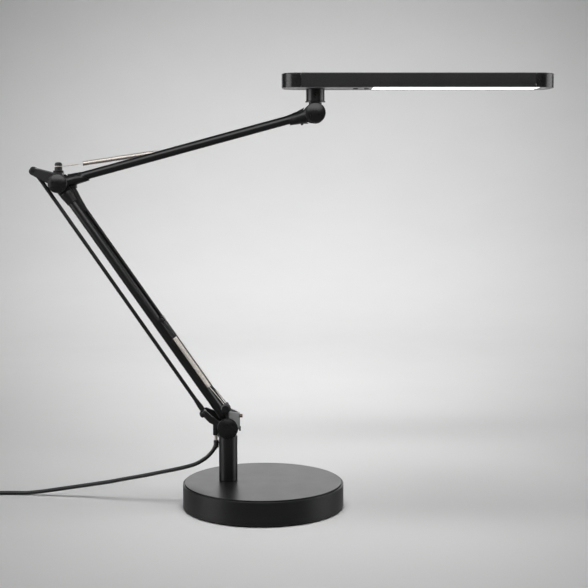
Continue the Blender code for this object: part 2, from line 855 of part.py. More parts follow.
def make_upper_arm(arm):
    """Elbow fork, tube, tip fork, spring with its pin, bolts and caps."""
    run, square = along(ELBOW_PIVOT, HEAD_PIVOT)
    length = (Vector(HEAD_PIVOT) - Vector(ELBOW_PIVOT)).length
    back = Vector((-run.x, -run.y))

    elbow_end = 0.0360
    tip_end = 0.0345
    sleeve = ((0.0250, 0.0071), (0.0300, 0.0069), (elbow_end, 0.0060))
    forked_sleeve("upper_fork", ELBOW_PIVOT, run, square, 0.0090, (0.0225, 0.0071), sleeve, arm)
    sleeve = ((0.0230, 0.0076), (0.0260, 0.0072), (tip_end, 0.0060))
    forked_sleeve("tip_fork", HEAD_PIVOT, back, square, 0.0126, (0.0205, 0.0078), sleeve, arm)

    profile = tube_profile(UPPER_TUBE_RADIUS, UPPER_TUBE_BORE, elbow_end + GAP, length - tip_end - GAP)
    lathe("upper_tube", profile, arm, "black_metal", arm_point(*ELBOW_PIVOT), (run.x, 0, run.y), 24)

    hook, coil_a, coil_b = (Vector((x, ARM_Y + y, z)) for x, y, z in UPPER_SPRING)
    x, y, z = UPPER_SPRING_END
    tail = Vector((x, ARM_Y + y, z))
    ribbed(
        "upper_spring",
        coil_a,
        coil_b,
        SPRING_RADIUS,
        0.0005,
        9,
        arm,
        "spring_steel",
        wire_start=hook,
        wire_stop=tail,
    )
    reach = (Vector((x, z)) - Vector(ELBOW_PIVOT)).dot(run) + 0.0024
    low = UPPER_TUBE_RADIUS + GAP
    spring_pin = [
        (0, low),
        (0.0030, low),
        (0.0030, 0.0085),
        (0.0014, 0.0088),
        (0.0014, 0.0112),
        (0.0026, 0.0115),
        (0.0026, 0.0130),
        (0, 0.0130),
    ]
    pin_y("upper_spring_pin", offset(ELBOW_PIVOT, run, square, reach), spring_pin, arm, "black_metal", 16)

    tab = offset(HEAD_PIVOT, back, square, 0.0203, 0.0073)
    lathe(
        "tip_screw",
        rod_profile(0.0015, 0.0, 0.0022),
        arm,
        "zinc_steel",
        arm_point(*tab),
        (square.x, 0, square.y),
        14,
    )

    for joint, pivot in (("elbow", ELBOW_PIVOT), ("head", HEAD_PIVOT)):
        pivot_bolt(joint + "_pivot_bolt", pivot, arm)
        for label, side in (("near", -1), ("far", 1)):
            pivot_cap(joint + "_cap_" + label, pivot, CAP_RADII[joint], side, arm)


# ---------------------------------------------------------------- head
def make_knuckle(knuckle):
    """Knuckle in the tip fork, with the neck and the peg that carries the head."""
    x, z = HEAD_PIVOT
    barrel = rod_profile(0.0108, -CORE_HALF, CORE_HALF)
    core = pin_y("head_knuckle", HEAD_PIVOT, barrel, knuckle, "black_metal", 28)
    neck = lathe(
        "neck",
        [
            (0, z + 0.002),
            (0.0083, z + 0.002),
            (0.0079, 0.4999),
            (0.0050, 0.4999),
            (0.0050, 0.5125),
            (0, 0.5125),
        ],
        base=(x, ARM_Y, 0),
        sides=28,
    )
    add(core, neck)
    cut(core, bore(HEAD_PIVOT, BOLT_BORE))


def rounded_end(tip, seam, inset):
    """Plan outline of a head end: straight at the seam, rounded corners at the tip."""
    side = 1 if tip > seam else -1
    radius = HEAD_CORNER - inset
    half = HEAD_HALF - inset
    centre_x = tip - side * (inset + radius)
    centre_y = half - radius
    points = [(seam, half), (seam, -half)]
    for corner, start in ((-1, 270), (1, 0)):
        for i in range(9):
            a = math.radians(start + 90 * i / 8)
            points.append((centre_x + side * radius * math.cos(a), corner * centre_y + radius * math.sin(a)))
    return points


def rounded_plan(left, right, half, radius, z):
    """Rounded rectangle around the head's centre line at a height."""
    ring = []
    middle = (left + right) / 2
    reach = (right - left) / 2 - radius
    for quarter, (sx, sy) in enumerate(((1, 1), (-1, 1), (-1, -1), (1, -1))):
        for i in range(7):
            a = math.radians(90 * quarter + 15 * i)
            x = middle + sx * reach + radius * math.cos(a)
            y = ARM_Y + sy * (half - radius) + radius * math.sin(a)
            ring.append((x, y, z))
    return ring


def slab(name, left, right, half, radius, low, high, parent=None, look=None):
    """Flat slab with rounded corners."""
    return loft(name, [rounded_plan(left, right, half, radius, z) for z in (low, high)], parent, look)


def make_end_cap(name, tip, seam, parent):
    """Rounded shell that closes one end of the head; open at the seam and below."""
    rings = []
    for z, inset in ((HEAD_BOTTOM, 0.0), (HEAD_TOP - HEAD_EDGE, 0.0), (HEAD_TOP, HEAD_EDGE)):
        rings.append([(x, ARM_Y + y, z) for x, y in rounded_end(tip, seam, inset)])
    shell = loft(name, rings, parent, "head_metal")
    past_seam = seam + (0.01 if seam > tip else -0.01)
    hollow = []
    for z in (HEAD_BOTTOM - 0.01, HEAD_TOP - 0.0025):
        hollow.append([(x, ARM_Y + y, z) for x, y in rounded_end(tip, past_seam, HEAD_WALL)])
    cut(shell, loft(name + "_hollow", hollow))


def make_head(head, buttons):
    """Socket, housing, end caps, underside panel, light panel, boards and buttons."""
    x = HEAD_PIVOT[0]
    socket = lathe(
        "head_socket",
        [
            (0.0051, 0.5003),
            (0.01235, 0.5003),
            (0.01235, 0.5015),
            (0.01140, 0.5015),
            (0.01140, HEAD_BOTTOM - 0.0001),
            (0, HEAD_BOTTOM - 0.0001),
            (0, 0.5130),
            (0.0051, 0.5130),
        ],
        head,
        "black_metal",
        (x, ARM_Y, 0),
        sides=24,
    )
    screw_z = 0.5088
    hole = rod_profile(0.0019, -0.02, -0.0045)
    cut(socket, pin_y("screw_hole", (x, screw_z), hole, sides=14))
    pin_y("socket_screw", (x, screw_z), rod_profile(0.0016, -0.0108, -0.0056), head, "zinc_steel", 12)

    left_seam = HEAD_LEFT + 0.0236
    right_seam = HEAD_RIGHT - 0.0250
    side = HEAD_HALF
    inner = HEAD_HALF - HEAD_WALL
    ceiling = HEAD_TOP - 0.0025
    half_section = [(side, HEAD_BOTTOM), (side, HEAD_TOP - HEAD_EDGE), (side - HEAD_EDGE, HEAD_TOP)]
    section = half_section + [(-y, z) for y, z in reversed(half_section)]
    section += [(-inner, HEAD_BOTTOM), (-inner, ceiling), (inner, ceiling), (inner, HEAD_BOTTOM)]
    ends = (left_seam + GAP / 2, right_seam - GAP / 2)
    loft("head_housing", [[(end, ARM_Y + y, z) for y, z in section] for end in ends], head, "head_metal")
    make_end_cap("head_end_left", HEAD_LEFT, left_seam - GAP / 2, head)
    make_end_cap("head_end_right", HEAD_RIGHT, right_seam + GAP / 2, head)

    margin = HEAD_WALL + GAP
    low, high = PANEL
    panel = slab(
        "head_panel",
        HEAD_LEFT + margin,
        HEAD_RIGHT - margin,
        HEAD_HALF - margin,
        HEAD_CORNER - margin,
        low,
        high,
        head,
        "panel_grey",
    )
    window_left, window_right, window_half = WINDOW
    cut(panel, slab("window", window_left, window_right, window_half, 0.004, 0.50, 0.53))
    slab(
        "light_panel",
        window_left + GAP,
        window_right - GAP,
        window_half - GAP,
        0.004 - GAP,
        low - 0.0001,
        high + 0.0002,
        head,
        "diffuser",
    )
    slab("light_board", 0.1345, 0.3320, 0.0240, 0.003, 0.5215, 0.5231, head, "board")
    box("driver", (0.0790, ARM_Y - 0.0200, 0.5235), (0.1250, ARM_Y + 0.0200, 0.5305), head, "board")

    for name, along_x in BUTTONS.items():
        cut(panel, lathe(name + "_hole", rod_profile(0.0034, 0.50, 0.53), base=(along_x, ARM_Y, 0), sides=20))
        profile = [(0, 0.5162), (0.0026, 0.5162), (0.0030, 0.5166), (0.0030, 0.5212), (0, 0.5212)]
        lathe(name, profile, buttons[name], "black_plastic", (along_x, ARM_Y, 0), sides=20)


# ---------------------------------------------------------------- assembly
def main():
    """Build the lamp."""
    clear_scene()
    ear = (LOWER_PIVOT[0] + LINK[0], LOWER_PIVOT[1] + LINK[1])
    root = empty("base_frame", (0, 0, 0))
    bracket = empty("swivel_frame", (POLE_X, ARM_Y, POLE_TOP), root)
    lower_arm = empty("lower_arm_frame", arm_point(*LOWER_PIVOT), bracket)
    rod = empty("rod_frame", arm_point(*ear), bracket)
    elbow = empty("elbow_frame", arm_point(*ELBOW_PIVOT), lower_arm)
    upper_arm = empty("upper_arm_frame", arm_point(*ELBOW_PIVOT), elbow)
    knuckle = empty("head_tilt_frame", arm_point(*HEAD_PIVOT), upper_arm)
    head = empty("head_swivel_frame", (HEAD_PIVOT[0], ARM_Y, 0.5003), knuckle)
    buttons = {name: empty(name + "_frame", (x, ARM_Y, 0.5162), head) for name, x in BUTTONS.items()}
    make_base(root)
    make_cord(root)
    make_bracket(bracket)
    make_lower_arm(lower_arm)
    make_rod(rod)
    make_elbow(elbow)
    make_upper_arm(upper_arm)
    make_knuckle(knuckle)
    make_head(head, buttons)


main()
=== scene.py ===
"""Looks of the spring-balanced desk lamp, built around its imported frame. Metres, +Z up."""

import json
from math import asin, atan2, copysign, cos, degrees, pi, radians, sin, sqrt, tan

import bmesh
import bpy
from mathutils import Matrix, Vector
from mathutils.geometry import interpolate_bezier


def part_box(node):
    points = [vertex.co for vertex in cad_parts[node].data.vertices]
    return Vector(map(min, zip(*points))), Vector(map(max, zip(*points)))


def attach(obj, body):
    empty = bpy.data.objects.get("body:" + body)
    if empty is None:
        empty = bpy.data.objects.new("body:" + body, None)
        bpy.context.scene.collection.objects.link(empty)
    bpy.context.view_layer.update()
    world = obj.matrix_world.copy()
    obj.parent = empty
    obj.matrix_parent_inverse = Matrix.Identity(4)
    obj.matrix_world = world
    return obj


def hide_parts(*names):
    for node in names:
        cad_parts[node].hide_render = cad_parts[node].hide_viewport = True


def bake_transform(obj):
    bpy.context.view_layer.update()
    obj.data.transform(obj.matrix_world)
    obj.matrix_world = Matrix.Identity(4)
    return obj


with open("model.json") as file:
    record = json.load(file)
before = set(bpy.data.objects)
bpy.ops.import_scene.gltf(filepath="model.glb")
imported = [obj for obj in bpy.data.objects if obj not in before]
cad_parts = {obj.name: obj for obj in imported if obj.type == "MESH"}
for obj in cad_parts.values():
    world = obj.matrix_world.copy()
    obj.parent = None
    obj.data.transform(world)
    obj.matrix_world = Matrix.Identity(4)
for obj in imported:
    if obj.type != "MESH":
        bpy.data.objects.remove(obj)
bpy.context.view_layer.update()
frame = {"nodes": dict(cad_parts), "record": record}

# ---- dimensions of the frame
ARM_Y = 0.004  # plane of the arm
BASE_RADIUS = 0.1
BASE_TOP = 0.032
POLE_X = -0.0436
POLE_RADIUS = 0.01115
POLE_TOP = 0.0885
LOWER_PIVOT = Vector((-0.0436, 0.101))  # X and Z
ELBOW_PIVOT = Vector((-0.2487, 0.4023))
HEAD_PIVOT = Vector((0.0643, 0.4873))
LINK = Vector((-0.031, 0.016))
ANCHOR = Vector((-0.0461, 0.1253))
POST_FOOT = Vector((-0.0008, 0.0119))  # from the elbow's pivot
CARRIER_PIN = Vector((-0.1226, 0.236))
SPRING_EYE = Vector((CARRIER_PIN.x - 0.0018, CARRIER_PIN.y - 0.0012))
TUBE_SHIFT = 0.0028
TUBE_RADIUS = 0.0064
CABLE_RADIUS = 0.0019
CABLE_OFFSET = TUBE_RADIUS + CABLE_RADIUS - 0.0001
PLATE_IN = 0.0094
PLATE_OUT = 0.0132
CAP_IN = 0.0135
UP = (0, 0, 1)
ACROSS = (0, 1, 0)
FLOOR_GAP = 0.00005  # between the floor and the foot
SIDES = (("near", -1), ("far", 1))
SPRING_Y = 0.0146  # hooks of the lower springs
COIL_Y = 0.0108  # their coils
HEAD_LEFT = 0.0231
HEAD_RIGHT = 0.3517
HEAD_HALF = 0.0325
HEAD_BOTTOM = 0.5168
HEAD_TOP = 0.5341
HEAD_CORNER = 0.0225
HEAD_SEAMS = (HEAD_LEFT + 0.0236, HEAD_RIGHT - 0.025)
SCREW_Z = 0.5088  # grub screw of the head's socket
CLIP_X = -0.0588  # clip on the pole that holds the strain relief and the lead
CLIP_TOP = 0.0829
RELIEF_TOP = 0.0759
SPRING_PITCH = 0.0008

CORD_DIAMETER = 0.005
TURN_STEP = 0.0051  # from one turn to the next
COIL_RADIUS = 0.0283
COIL_TURNS = 8.25
COIL_CENTRE = Vector((-0.39, 0.0206))
CORD_ROUTE = (
    (-0.0612, 0.004, 0.0718), (-0.0631, 0.0041, 0.069), (-0.0655, 0.0043, 0.066), (-0.0685, 0.0046, 0.0628),
    (-0.0722, 0.0051, 0.0596), (-0.0762, 0.0058, 0.0567), (-0.0815, 0.0068, 0.0533), (-0.088, 0.008, 0.0503),
    (-0.099, 0.0103, 0.0467), (-0.11, 0.0127, 0.0437), (-0.1308, 0.0178, 0.0383), (-0.1498, 0.0225, 0.0334),
    (-0.1766, 0.0294, 0.0271), (-0.2003, 0.035, 0.0215), (-0.2363, 0.0432, 0.0143), (-0.2715, 0.0493, 0.0078),
    (-0.2897, 0.0518, 0.0047), (-0.307, 0.0534, 0.0027), (-0.323, 0.054, 0.0026), (-0.3417, 0.054, 0.0026),
    (-0.3703, 0.054, 0.0026),
)
PLUG_TAIL = Vector((-0.4234, 0.0003, 0.0126))
PLUG_HEADING = Vector((0, -cos(radians(8)), -sin(radians(8))))

RECORD = frame["record"]
BODY_OF = {node: body for body, nodes in RECORD["behaviour"]["bodies"].items() for node in nodes}


# ---- mesh helpers
def finish_mesh(name, bm, look, angle=32):
    """Turn a bmesh into an object with smooth faces, sharp creases and a finish."""
    bmesh.ops.recalc_face_normals(bm, faces=bm.faces)
    mesh = bpy.data.meshes.new(name)
    bm.to_mesh(mesh)
    bm.free()
    mesh.shade_smooth()
    mesh.set_sharp_from_angle(angle=radians(angle))
    if look:
        mesh.materials.append(M[look])
    obj = bpy.data.objects.new(name, mesh)
    bpy.context.collection.objects.link(obj)
    return obj


def bridge(bm, rings):
    """Faces between neighbouring rings of points; a ring of one point makes a tip."""
    for ring, after in zip(rings, rings[1:]):
        sides = max(len(ring), len(after))
        if sides == 1:
            continue
        for i in range(sides):
            j = (i + 1) % sides
            corners = ring[i % len(ring)], ring[j % len(ring)], after[j % len(after)], after[i % len(after)]
            bm.faces.new(list(dict.fromkeys(corners)))


def circle(radius, height, sides):
    """Points of a level circle; one point where the radius is 0."""
    angles = [2 * pi * i / sides for i in range(sides if radius > 1e-7 else 1)]
    return [Vector((radius * cos(a), radius * sin(a), height)) for a in angles]


def fillet(points, radius, closed=False, steps=4):
    """Round the corners of a 2-D profile."""
    out = []
    count = len(points)
    for i, here in enumerate(points):
        p = Vector(here)
        if not closed and i in (0, count - 1):
            out.append(p)
            continue
        a = Vector(points[i - 1]) - p
        b = Vector(points[(i + 1) % count]) - p
        angle = a.angle(b)
        if angle > radians(170):
            out.append(p)
            continue
        reach = min(radius / tan(angle / 2), a.length * 0.45, b.length * 0.45)
        a.normalize()
        b.normalize()
        for k in range(steps + 1):
            t = k / steps
            out.append(p + a * reach * (1 - t) ** 2 + b * reach * t**2)
    return out


def pipe(inner, outer, low, high):
    """Profile of a straight tube, or of a rod where the inner radius is 0."""
    return [(inner, low), (outer, low), (outer, high), (inner, high)]


def lathe(name, profile, look, base=(0, 0, 0), direction=UP, sides=64, radius=0.0003, closed=False):
    """Rounded profile of (radius, height) turned about an axis; closed for a tube."""
    bm = bmesh.new()
    turn = Vector(direction).to_track_quat("Z", "Y").to_matrix()
    rings = []
    for r, h in fillet(profile, radius, closed) if radius else profile:
        rings.append([bm.verts.new(Vector(base) + turn @ p) for p in circle(r, h, sides)])
    bridge(bm, rings + rings[:1] if closed else rings)
    return finish_mesh(name, bm, look)


def loft(name, rings, look, angle=32):
    """Closed solid through rings of equally many points."""
    bm = bmesh.new()
    rings = [[bm.verts.new(Vector(p)) for p in ring] for ring in rings]
    bridge(bm, rings)
    bm.faces.new(rings[0])
    bm.faces.new(rings[-1])
    return finish_mesh(name, bm, look, angle)


def shrink(outline, distance):
    """Outline moved inwards by a distance."""
    points = [Vector(p) for p in outline]
    area = sum(p.x * q.y - q.x * p.y for p, q in zip(points, points[1:] + points[:1]))
    side = 1 if area > 0 else -1
    out = []
    for i, p in enumerate(points):
        a = (p - points[i - 1]).normalized()
        b = (points[(i + 1) % len(points)] - p).normalized()
        normal = Vector((-(a.y + b.y), a.x + b.x)) * side
        if normal.length < 1e-6:
            out.append(p)
            continue
        normal.normalize()
        slant = max(0.5, normal.dot(Vector((-a.y, a.x)) * side))
        out.append(p + normal * (distance / slant))
    return out


def rounded_levels(low, high, edge, steps=4):
    """Heights and insets of a slab whose two rims are rounded."""
    levels = [(low + edge * (1 - cos(pi / 2 * k / steps)), edge * (1 - sin(pi / 2 * k / steps)))
              for k in range(steps + 1)]
    return levels + [(high - (z - low), inset) for z, inset in reversed(levels)]


def at_arm(x, z, y=0.0):
    """Point at a sideways distance from the arm's plane."""
    return Vector((x, ARM_Y + y, z))


def prism(name, outline, low, high, look, edge=0.0006, steps=4):
    """Plate with rounded rims: an outline in X and Z between two distances from the arm's plane."""
    rings = []
    for y, inset in rounded_levels(low, high, edge, steps):
        rings.append([at_arm(x, z, y) for x, z in shrink(outline, inset)])
    return loft(name, rings, look)


def slab(name, outline, low, high, look, edge=0.0006, steps=4):
    """Slab with rounded rims: an outline in X and Y between two heights."""
    rings = []
    for z, inset in rounded_levels(low, high, edge, steps):
        rings.append([(x, y, z) for x, y in shrink(outline, inset)])
    return loft(name, rings, look)


def block(name, low, high, look, edge=0.0006, corner=0.0012):
    """Box with rounded corners and rims between two points given as (x, distance from the arm's plane, z)."""
    (left, near, bottom), (right, far, top) = low, high
    corners = [(x, ARM_Y + y) for x, y in ((left, near), (right, near), (right, far), (left, far))]
    return slab(name, fillet(corners, corner, True, 5), bottom, top, look, edge)


def arc(centre, radius, start, stop, steps):
    """Points of an arc, angles in degrees."""
    points = []
    for i in range(steps + 1):
        a = radians(start + (stop - start) * i / steps)
        points.append(Vector((centre[0] + radius * cos(a), centre[1] + radius * sin(a))))
    return points


def tapered_link(a, radius_a, b, radius_b, steps=20):
    """Outline around two circles and their outer tangents."""
    run = Vector(b) - Vector(a)
    heading = degrees(atan2(run.y, run.x))
    lean = degrees(asin((radius_a - radius_b) / run.length))
    far = arc(b, radius_b, heading - 90 + lean, heading + 90 - lean, steps)
    return far + arc(a, radius_a, heading + 90 - lean, heading + 270 + lean, steps)


def along(a, b):
    """Unit vector from one pivot to another, and the one square to it."""
    run = (Vector(b) - Vector(a)).normalized()
    return run, Vector((run.y, -run.x))


def smooth_line(route, spacing):
    """Evenly spaced points on the smooth curve through a route."""
    points = [Vector(p) for p in route]
    ends = [2 * points[0] - points[1]] + points + [2 * points[-1] - points[-2]]
    fine = []
    for before, a, b, after in zip(ends, ends[1:], ends[2:], ends[3:]):
        fine += interpolate_bezier(a, a + (b - before) / 6, b - (after - a) / 6, b, 17)[:-1]
    fine.append(points[-1])
    length = sum((q - p).length for p, q in zip(fine, fine[1:]))
    count = max(2, round(length / spacing))
    out = [fine[0]]
    walked = 0.0
    for p, q in zip(fine, fine[1:]):
        step = (q - p).length
        while len(out) < count and walked + step >= length * len(out) / count:
            out.append(p.lerp(q, (length * len(out) / count - walked) / step))
        walked += step
    out.append(fine[-1])
    return out


def tube(name, path, radius, look, sides=20):
    """Round tube along a path, with a radius for the whole of it or for each point, and rounded ends."""
    path = [Vector(p) for p in path]
    radii = list(radius) if hasattr(radius, "__len__") else [radius] * len(path)
    first = (path[0] - path[1]).normalized()
    last = (path[-1] - path[-2]).normalized()
    head = [(path[0] + first * radii[0] * 0.5 * cos(a), radii[0] * sin(a)) for a in (0.35, 0.9)]
    tail = [(path[-1] + last * radii[-1] * 0.5 * cos(a), radii[-1] * sin(a)) for a in (0.9, 0.35)]
    path = [p for p, _ in head] + path + [p for p, _ in tail]
    radii = [r for _, r in head] + radii + [r for _, r in tail]
    side = (path[1] - path[0]).normalized().orthogonal().normalized()
    rings = []
    for i, (p, r) in enumerate(zip(path, radii)):
        tangent = (path[min(i + 1, len(path) - 1)] - path[max(i - 1, 0)]).normalized()
        side = (side - tangent * side.dot(tangent)).normalized()
        other = tangent.cross(side)
        angles = [2 * pi * k / sides for k in range(sides)]
        rings.append([p + side * r * cos(a) + other * r * sin(a) for a in angles])
    return loft(name, rings, look, 60)


def extent(objects):
    """Size of the box around some objects' meshes."""
    points = [v.co for obj in objects for v in obj.data.vertices]
    return Vector([max(p[i] for p in points) - min(p[i] for p in points) for i in range(3)])


def smooth_creased(mesh):
    """One material, smooth faces and sharp creases."""
    for face in mesh.polygons:
        face.material_index = 0
    mesh.shade_smooth()
    mesh.set_sharp_from_angle(angle=radians(30))


def combine(target, others, operation):
    """Join solids to a solid or cut them away from it, and remove them."""
    for other in others:
        step = target.modifiers.new("combine", "BOOLEAN")
        step.operation = operation
        step.solver = "EXACT"
        step.object = other
    bpy.context.view_layer.update()
    shown = target.evaluated_get(bpy.context.evaluated_depsgraph_get())
    mesh = bpy.data.meshes.new_from_object(shown)
    finish = target.data.materials[0] if target.data.materials else None
    target.modifiers.clear()
    target.data = mesh
    mesh.materials.clear()
    mesh.materials.append(finish)
    smooth_creased(mesh)
    for other in others:
        bpy.data.objects.remove(other, do_unlink=True)
    return weigh(target)


def carve(target, *others):
    """Cut solids away."""
    return combine(target, others, "DIFFERENCE")


def union(target, *others):
    """Join solids into one skin, or only into one mesh where the solver loses a part of them."""
    size = extent([target, *others])
    apart = [obj.data.copy() for obj in (target, *others)]
    combine(target, others, "UNION")
    if (extent([target]) - size).length > 1e-4:
        bm = bmesh.new()
        for mesh in apart:
            bm.from_mesh(mesh)
        bm.to_mesh(target.data)
        bm.free()
        smooth_creased(target.data)
    return target


def weigh(obj):
    """Keep flat faces flat next to rounded rims."""
    step = obj.modifiers.new("normals", "WEIGHTED_NORMAL")
    step.keep_sharp = True
    return obj


def stand(piece, *nodes):
    """Ride on a node's body and replace it."""
    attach(piece, BODY_OF[nodes[0]])
    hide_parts(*nodes)
    return piece


def extra(piece, node):
    """A further piece that rides with a node's body."""
    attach(piece, BODY_OF[node])
    return piece


# ---- materials
def wire(node, inputs):
    """Set a node's inputs, each to a value or by a link from a socket."""
    for key, value in inputs.items():
        if isinstance(value, bpy.types.NodeSocket):
            node.id_data.links.new(value, node.inputs[key])
        else:
            node.inputs[key].default_value = value


def add(tree, kind, inputs, output):
    """New node with its inputs set; gives one of its outputs."""
    node = tree.nodes.new("ShaderNode" + kind)
    wire(node, inputs)
    return node.outputs[output]


def mix(tree, factor, a, b):
    """Blend of two colours."""
    node = tree.nodes.new("ShaderNodeMix")
    node.data_type = "RGBA"
    wire(node, {0: factor, 6: a, 7: b})
    return node.outputs[2]


def material(name, colour, roughness, metallic=0.0, mottle=(40, 0.15), spread=0.05, grain=(2600, 0.00002), wear=None,
             specular=0.5):
    """Procedural finish: cloudy tone, varied roughness, fine surface grain and lighter worn edges."""
    mat = bpy.data.materials.new(name)
    mat.use_nodes = True
    tree = mat.node_tree
    coord = add(tree, "TexCoord", {}, "Object")

    def noise(scale, detail):
        return add(tree, "TexNoise", {"Scale": scale, "Detail": detail, "Vector": coord}, 0)

    def spread_to(value, low, high, start=0.3, stop=0.7):
        inputs = {"From Min": start, "From Max": stop, "To Min": low, "To Max": high, "Value": value}
        return add(tree, "MapRange", inputs, "Result")

    scale, change = mottle
    dark = (*(c * (1 - change) for c in colour), 1.0)
    light = (*(min(1.0, c * (1 + change)) for c in colour), 1.0)
    tone = mix(tree, spread_to(noise(scale, 4.0), 0.0, 1.0), dark, light)
    if wear is not None:
        worn, amount = wear
        edge = spread_to(add(tree, "NewGeometry", {}, "Pointiness"), 0.0, amount, 0.515, 0.6)
        broken = tree.nodes.new("ShaderNodeMath")
        broken.operation = "MULTIPLY"
        wire(broken, {0: edge, 1: spread_to(noise(600, 3.0), 0.2, 1.0, 0.4, 0.65)})
        tone = mix(tree, broken.outputs[0], tone, (*worn, 1.0))
    smear = spread_to(noise(scale * 4.3, 5.0), roughness - spread, roughness + spread)
    bump = add(tree, "Bump", {"Strength": 0.6, "Distance": grain[1], "Height": noise(grain[0], 3.0)}, "Normal")
    wire(tree.nodes["Principled BSDF"], {"Metallic": metallic, "Specular IOR Level": specular, "Base Color": tone,
                                         "Roughness": smear, "Normal": bump})
    return mat


EDGE = (0.03, 0.029, 0.029)
M = {
    "paint": material("satin_black_paint", (0.003, 0.003, 0.0031), 0.33, spread=0.03, wear=(EDGE, 0.4)),
    "cast": material("cast_black_paint", (0.0038, 0.0038, 0.0039), 0.37, spread=0.04, grain=(1700, 0.00003),
                     wear=(EDGE, 0.5)),
    "base": material("base_powder_coat", (0.0055, 0.0055, 0.0057), 0.36, mottle=(9, 0.05), spread=0.015,
                     grain=(3200, 0.00002), wear=(EDGE, 0.3)),
    "head": material("head_powder_coat", (0.0062, 0.0062, 0.0064), 0.38, mottle=(30, 0.05), spread=0.03,
                     grain=(3400, 0.00002), wear=((0.04, 0.04, 0.04), 0.3), specular=0.42),
    "end": material("head_end_gloss", (0.003, 0.003, 0.0031), 0.27, mottle=(30, 0.08), spread=0.03,
                    grain=(3400, 0.00001), wear=(EDGE, 0.3)),
    "cap": material("cap_plastic", (0.0034, 0.0034, 0.0035), 0.29, mottle=(70, 0.08), spread=0.03,
                    grain=(2400, 0.00002), wear=(EDGE, 0.3)),
    # lug: its light grey base colour is a painted highlight for the right soft box's reflection on the bracket's nose;
    # the casting itself is black
    "lug": material("lug_painted_highlight_grey", (0.21, 0.213, 0.218), 0.38, spread=0.03, wear=(EDGE, 0.4), specular=0.8),
    "plate": material("lever_powder_coat", (0.02, 0.02, 0.0205), 0.42, spread=0.03, grain=(1700, 0.00003),
                      wear=((0.09, 0.09, 0.09), 0.5)),
    "plastic": material("black_plastic", (0.004, 0.004, 0.0042), 0.44, grain=(1900, 0.00003), wear=(EDGE, 0.3)),
    "dark": material("blackened_screw", (0.045, 0.043, 0.041), 0.32, 1.0, (260, 0.2), 0.05, (4200, 0.00001)),
    "spring": material("spring_steel", (0.8, 0.75, 0.7), 0.31, 0.92, (300, 0.1), 0.06, (5000, 0.00001)),
    "sleeve": material("lead_sleeve", (0.66, 0.6, 0.53), 0.42, 0.5, (300, 0.1), 0.06, (4000, 0.00001)),
    "zinc": material("zinc_steel", (0.52, 0.5, 0.47), 0.34, 1.0, (220, 0.15), 0.08, (4200, 0.00001)),
    "bronze": material("bronzed_screw", (0.2, 0.16, 0.125), 0.34, 1.0, (260, 0.2), 0.08, (4200, 0.00001)),
    "brass": material("brass_bush", (0.62, 0.44, 0.18), 0.34, 1.0, (160, 0.15), 0.08, (3000, 0.00001)),
    "iron": material("cast_iron", (0.1, 0.1, 0.105), 0.75, 0.7, (120, 0.3), 0.1, (900, 0.0002)),
    "rubber": material("foot_rubber", (0.008, 0.008, 0.008), 0.8, 0.0, (90, 0.2), 0.06, (1500, 0.00006)),
    "cord": material("cord_rubber", (0.0038, 0.0038, 0.004), 0.36, 0.0, (120, 0.15), 0.05, (2800, 0.00002)),
    "panel": material("panel_plastic", (0.42, 0.42, 0.425), 0.42, 0.0, (60, 0.05), 0.05, (2600, 0.00002)),
    "board": material("board_white", (0.7, 0.71, 0.7), 0.45, 0.0, (200, 0.08), 0.05, (1500, 0.00002)),
    "paper": material("studio_paper", (0.7, 0.7, 0.7), 0.85, 0.0, (6, 0.01), 0.04, (700, 0.00004), specular=0.0),
}


def diffuser_material():
    """Opal light panel: even glow with a fine lens grid, slightly weaker between its cells."""
    mat = bpy.data.materials.new("opal_diffuser")
    mat.use_nodes = True
    tree = mat.node_tree
    coord = add(tree, "TexCoord", {}, "Object")
    cells = add(tree, "TexVoronoi", {"Scale": 900, "Randomness": 0.15, "Vector": coord}, "Distance")
    glow = add(tree, "MapRange", {"From Max": 0.6, "To Min": 1.0, "To Max": 0.9, "Value": cells}, "Result")
    tint = mix(tree, glow, (0.84, 0.86, 0.9, 1.0), (1.0, 1.0, 0.99, 1.0))
    rough = add(tree, "MapRange", {"To Min": 0.3, "To Max": 0.42, "Value": cells}, "Result")
    bump = add(tree, "Bump", {"Strength": 0.4, "Distance": 0.00004, "Height": cells}, "Normal")
    wire(tree.nodes["Principled BSDF"], {"Base Color": (0.86, 0.87, 0.88, 1.0), "Emission Color": tint,
                                         "Emission Strength": 2.6, "Roughness": rough, "Normal": bump})
    return mat


M["diffuser"] = diffuser_material()


# ---- camera
def make_camera():
    """Level view from the front, a little above the head's underside, looking slightly down."""
    data = bpy.data.cameras.new("camera")
    data.lens = 79.98
    data.sensor_width = 36.0
    data.clip_end = 60.0
    cam = bpy.data.objects.new("camera", data)
    cam.location = (0.0384, -1.6, 0.42987)
    cam.rotation_euler = (pi / 2 - 0.1018, 0.0, 0.0)
    bpy.context.collection.objects.link(cam)
    bpy.context.scene.camera = cam


make_camera()


# ---- power cord
def ease(t):
    """Smooth step from 0 to 1."""
    t = max(0.0, min(1.0, t))
    return t * t * (3 - 2 * t)


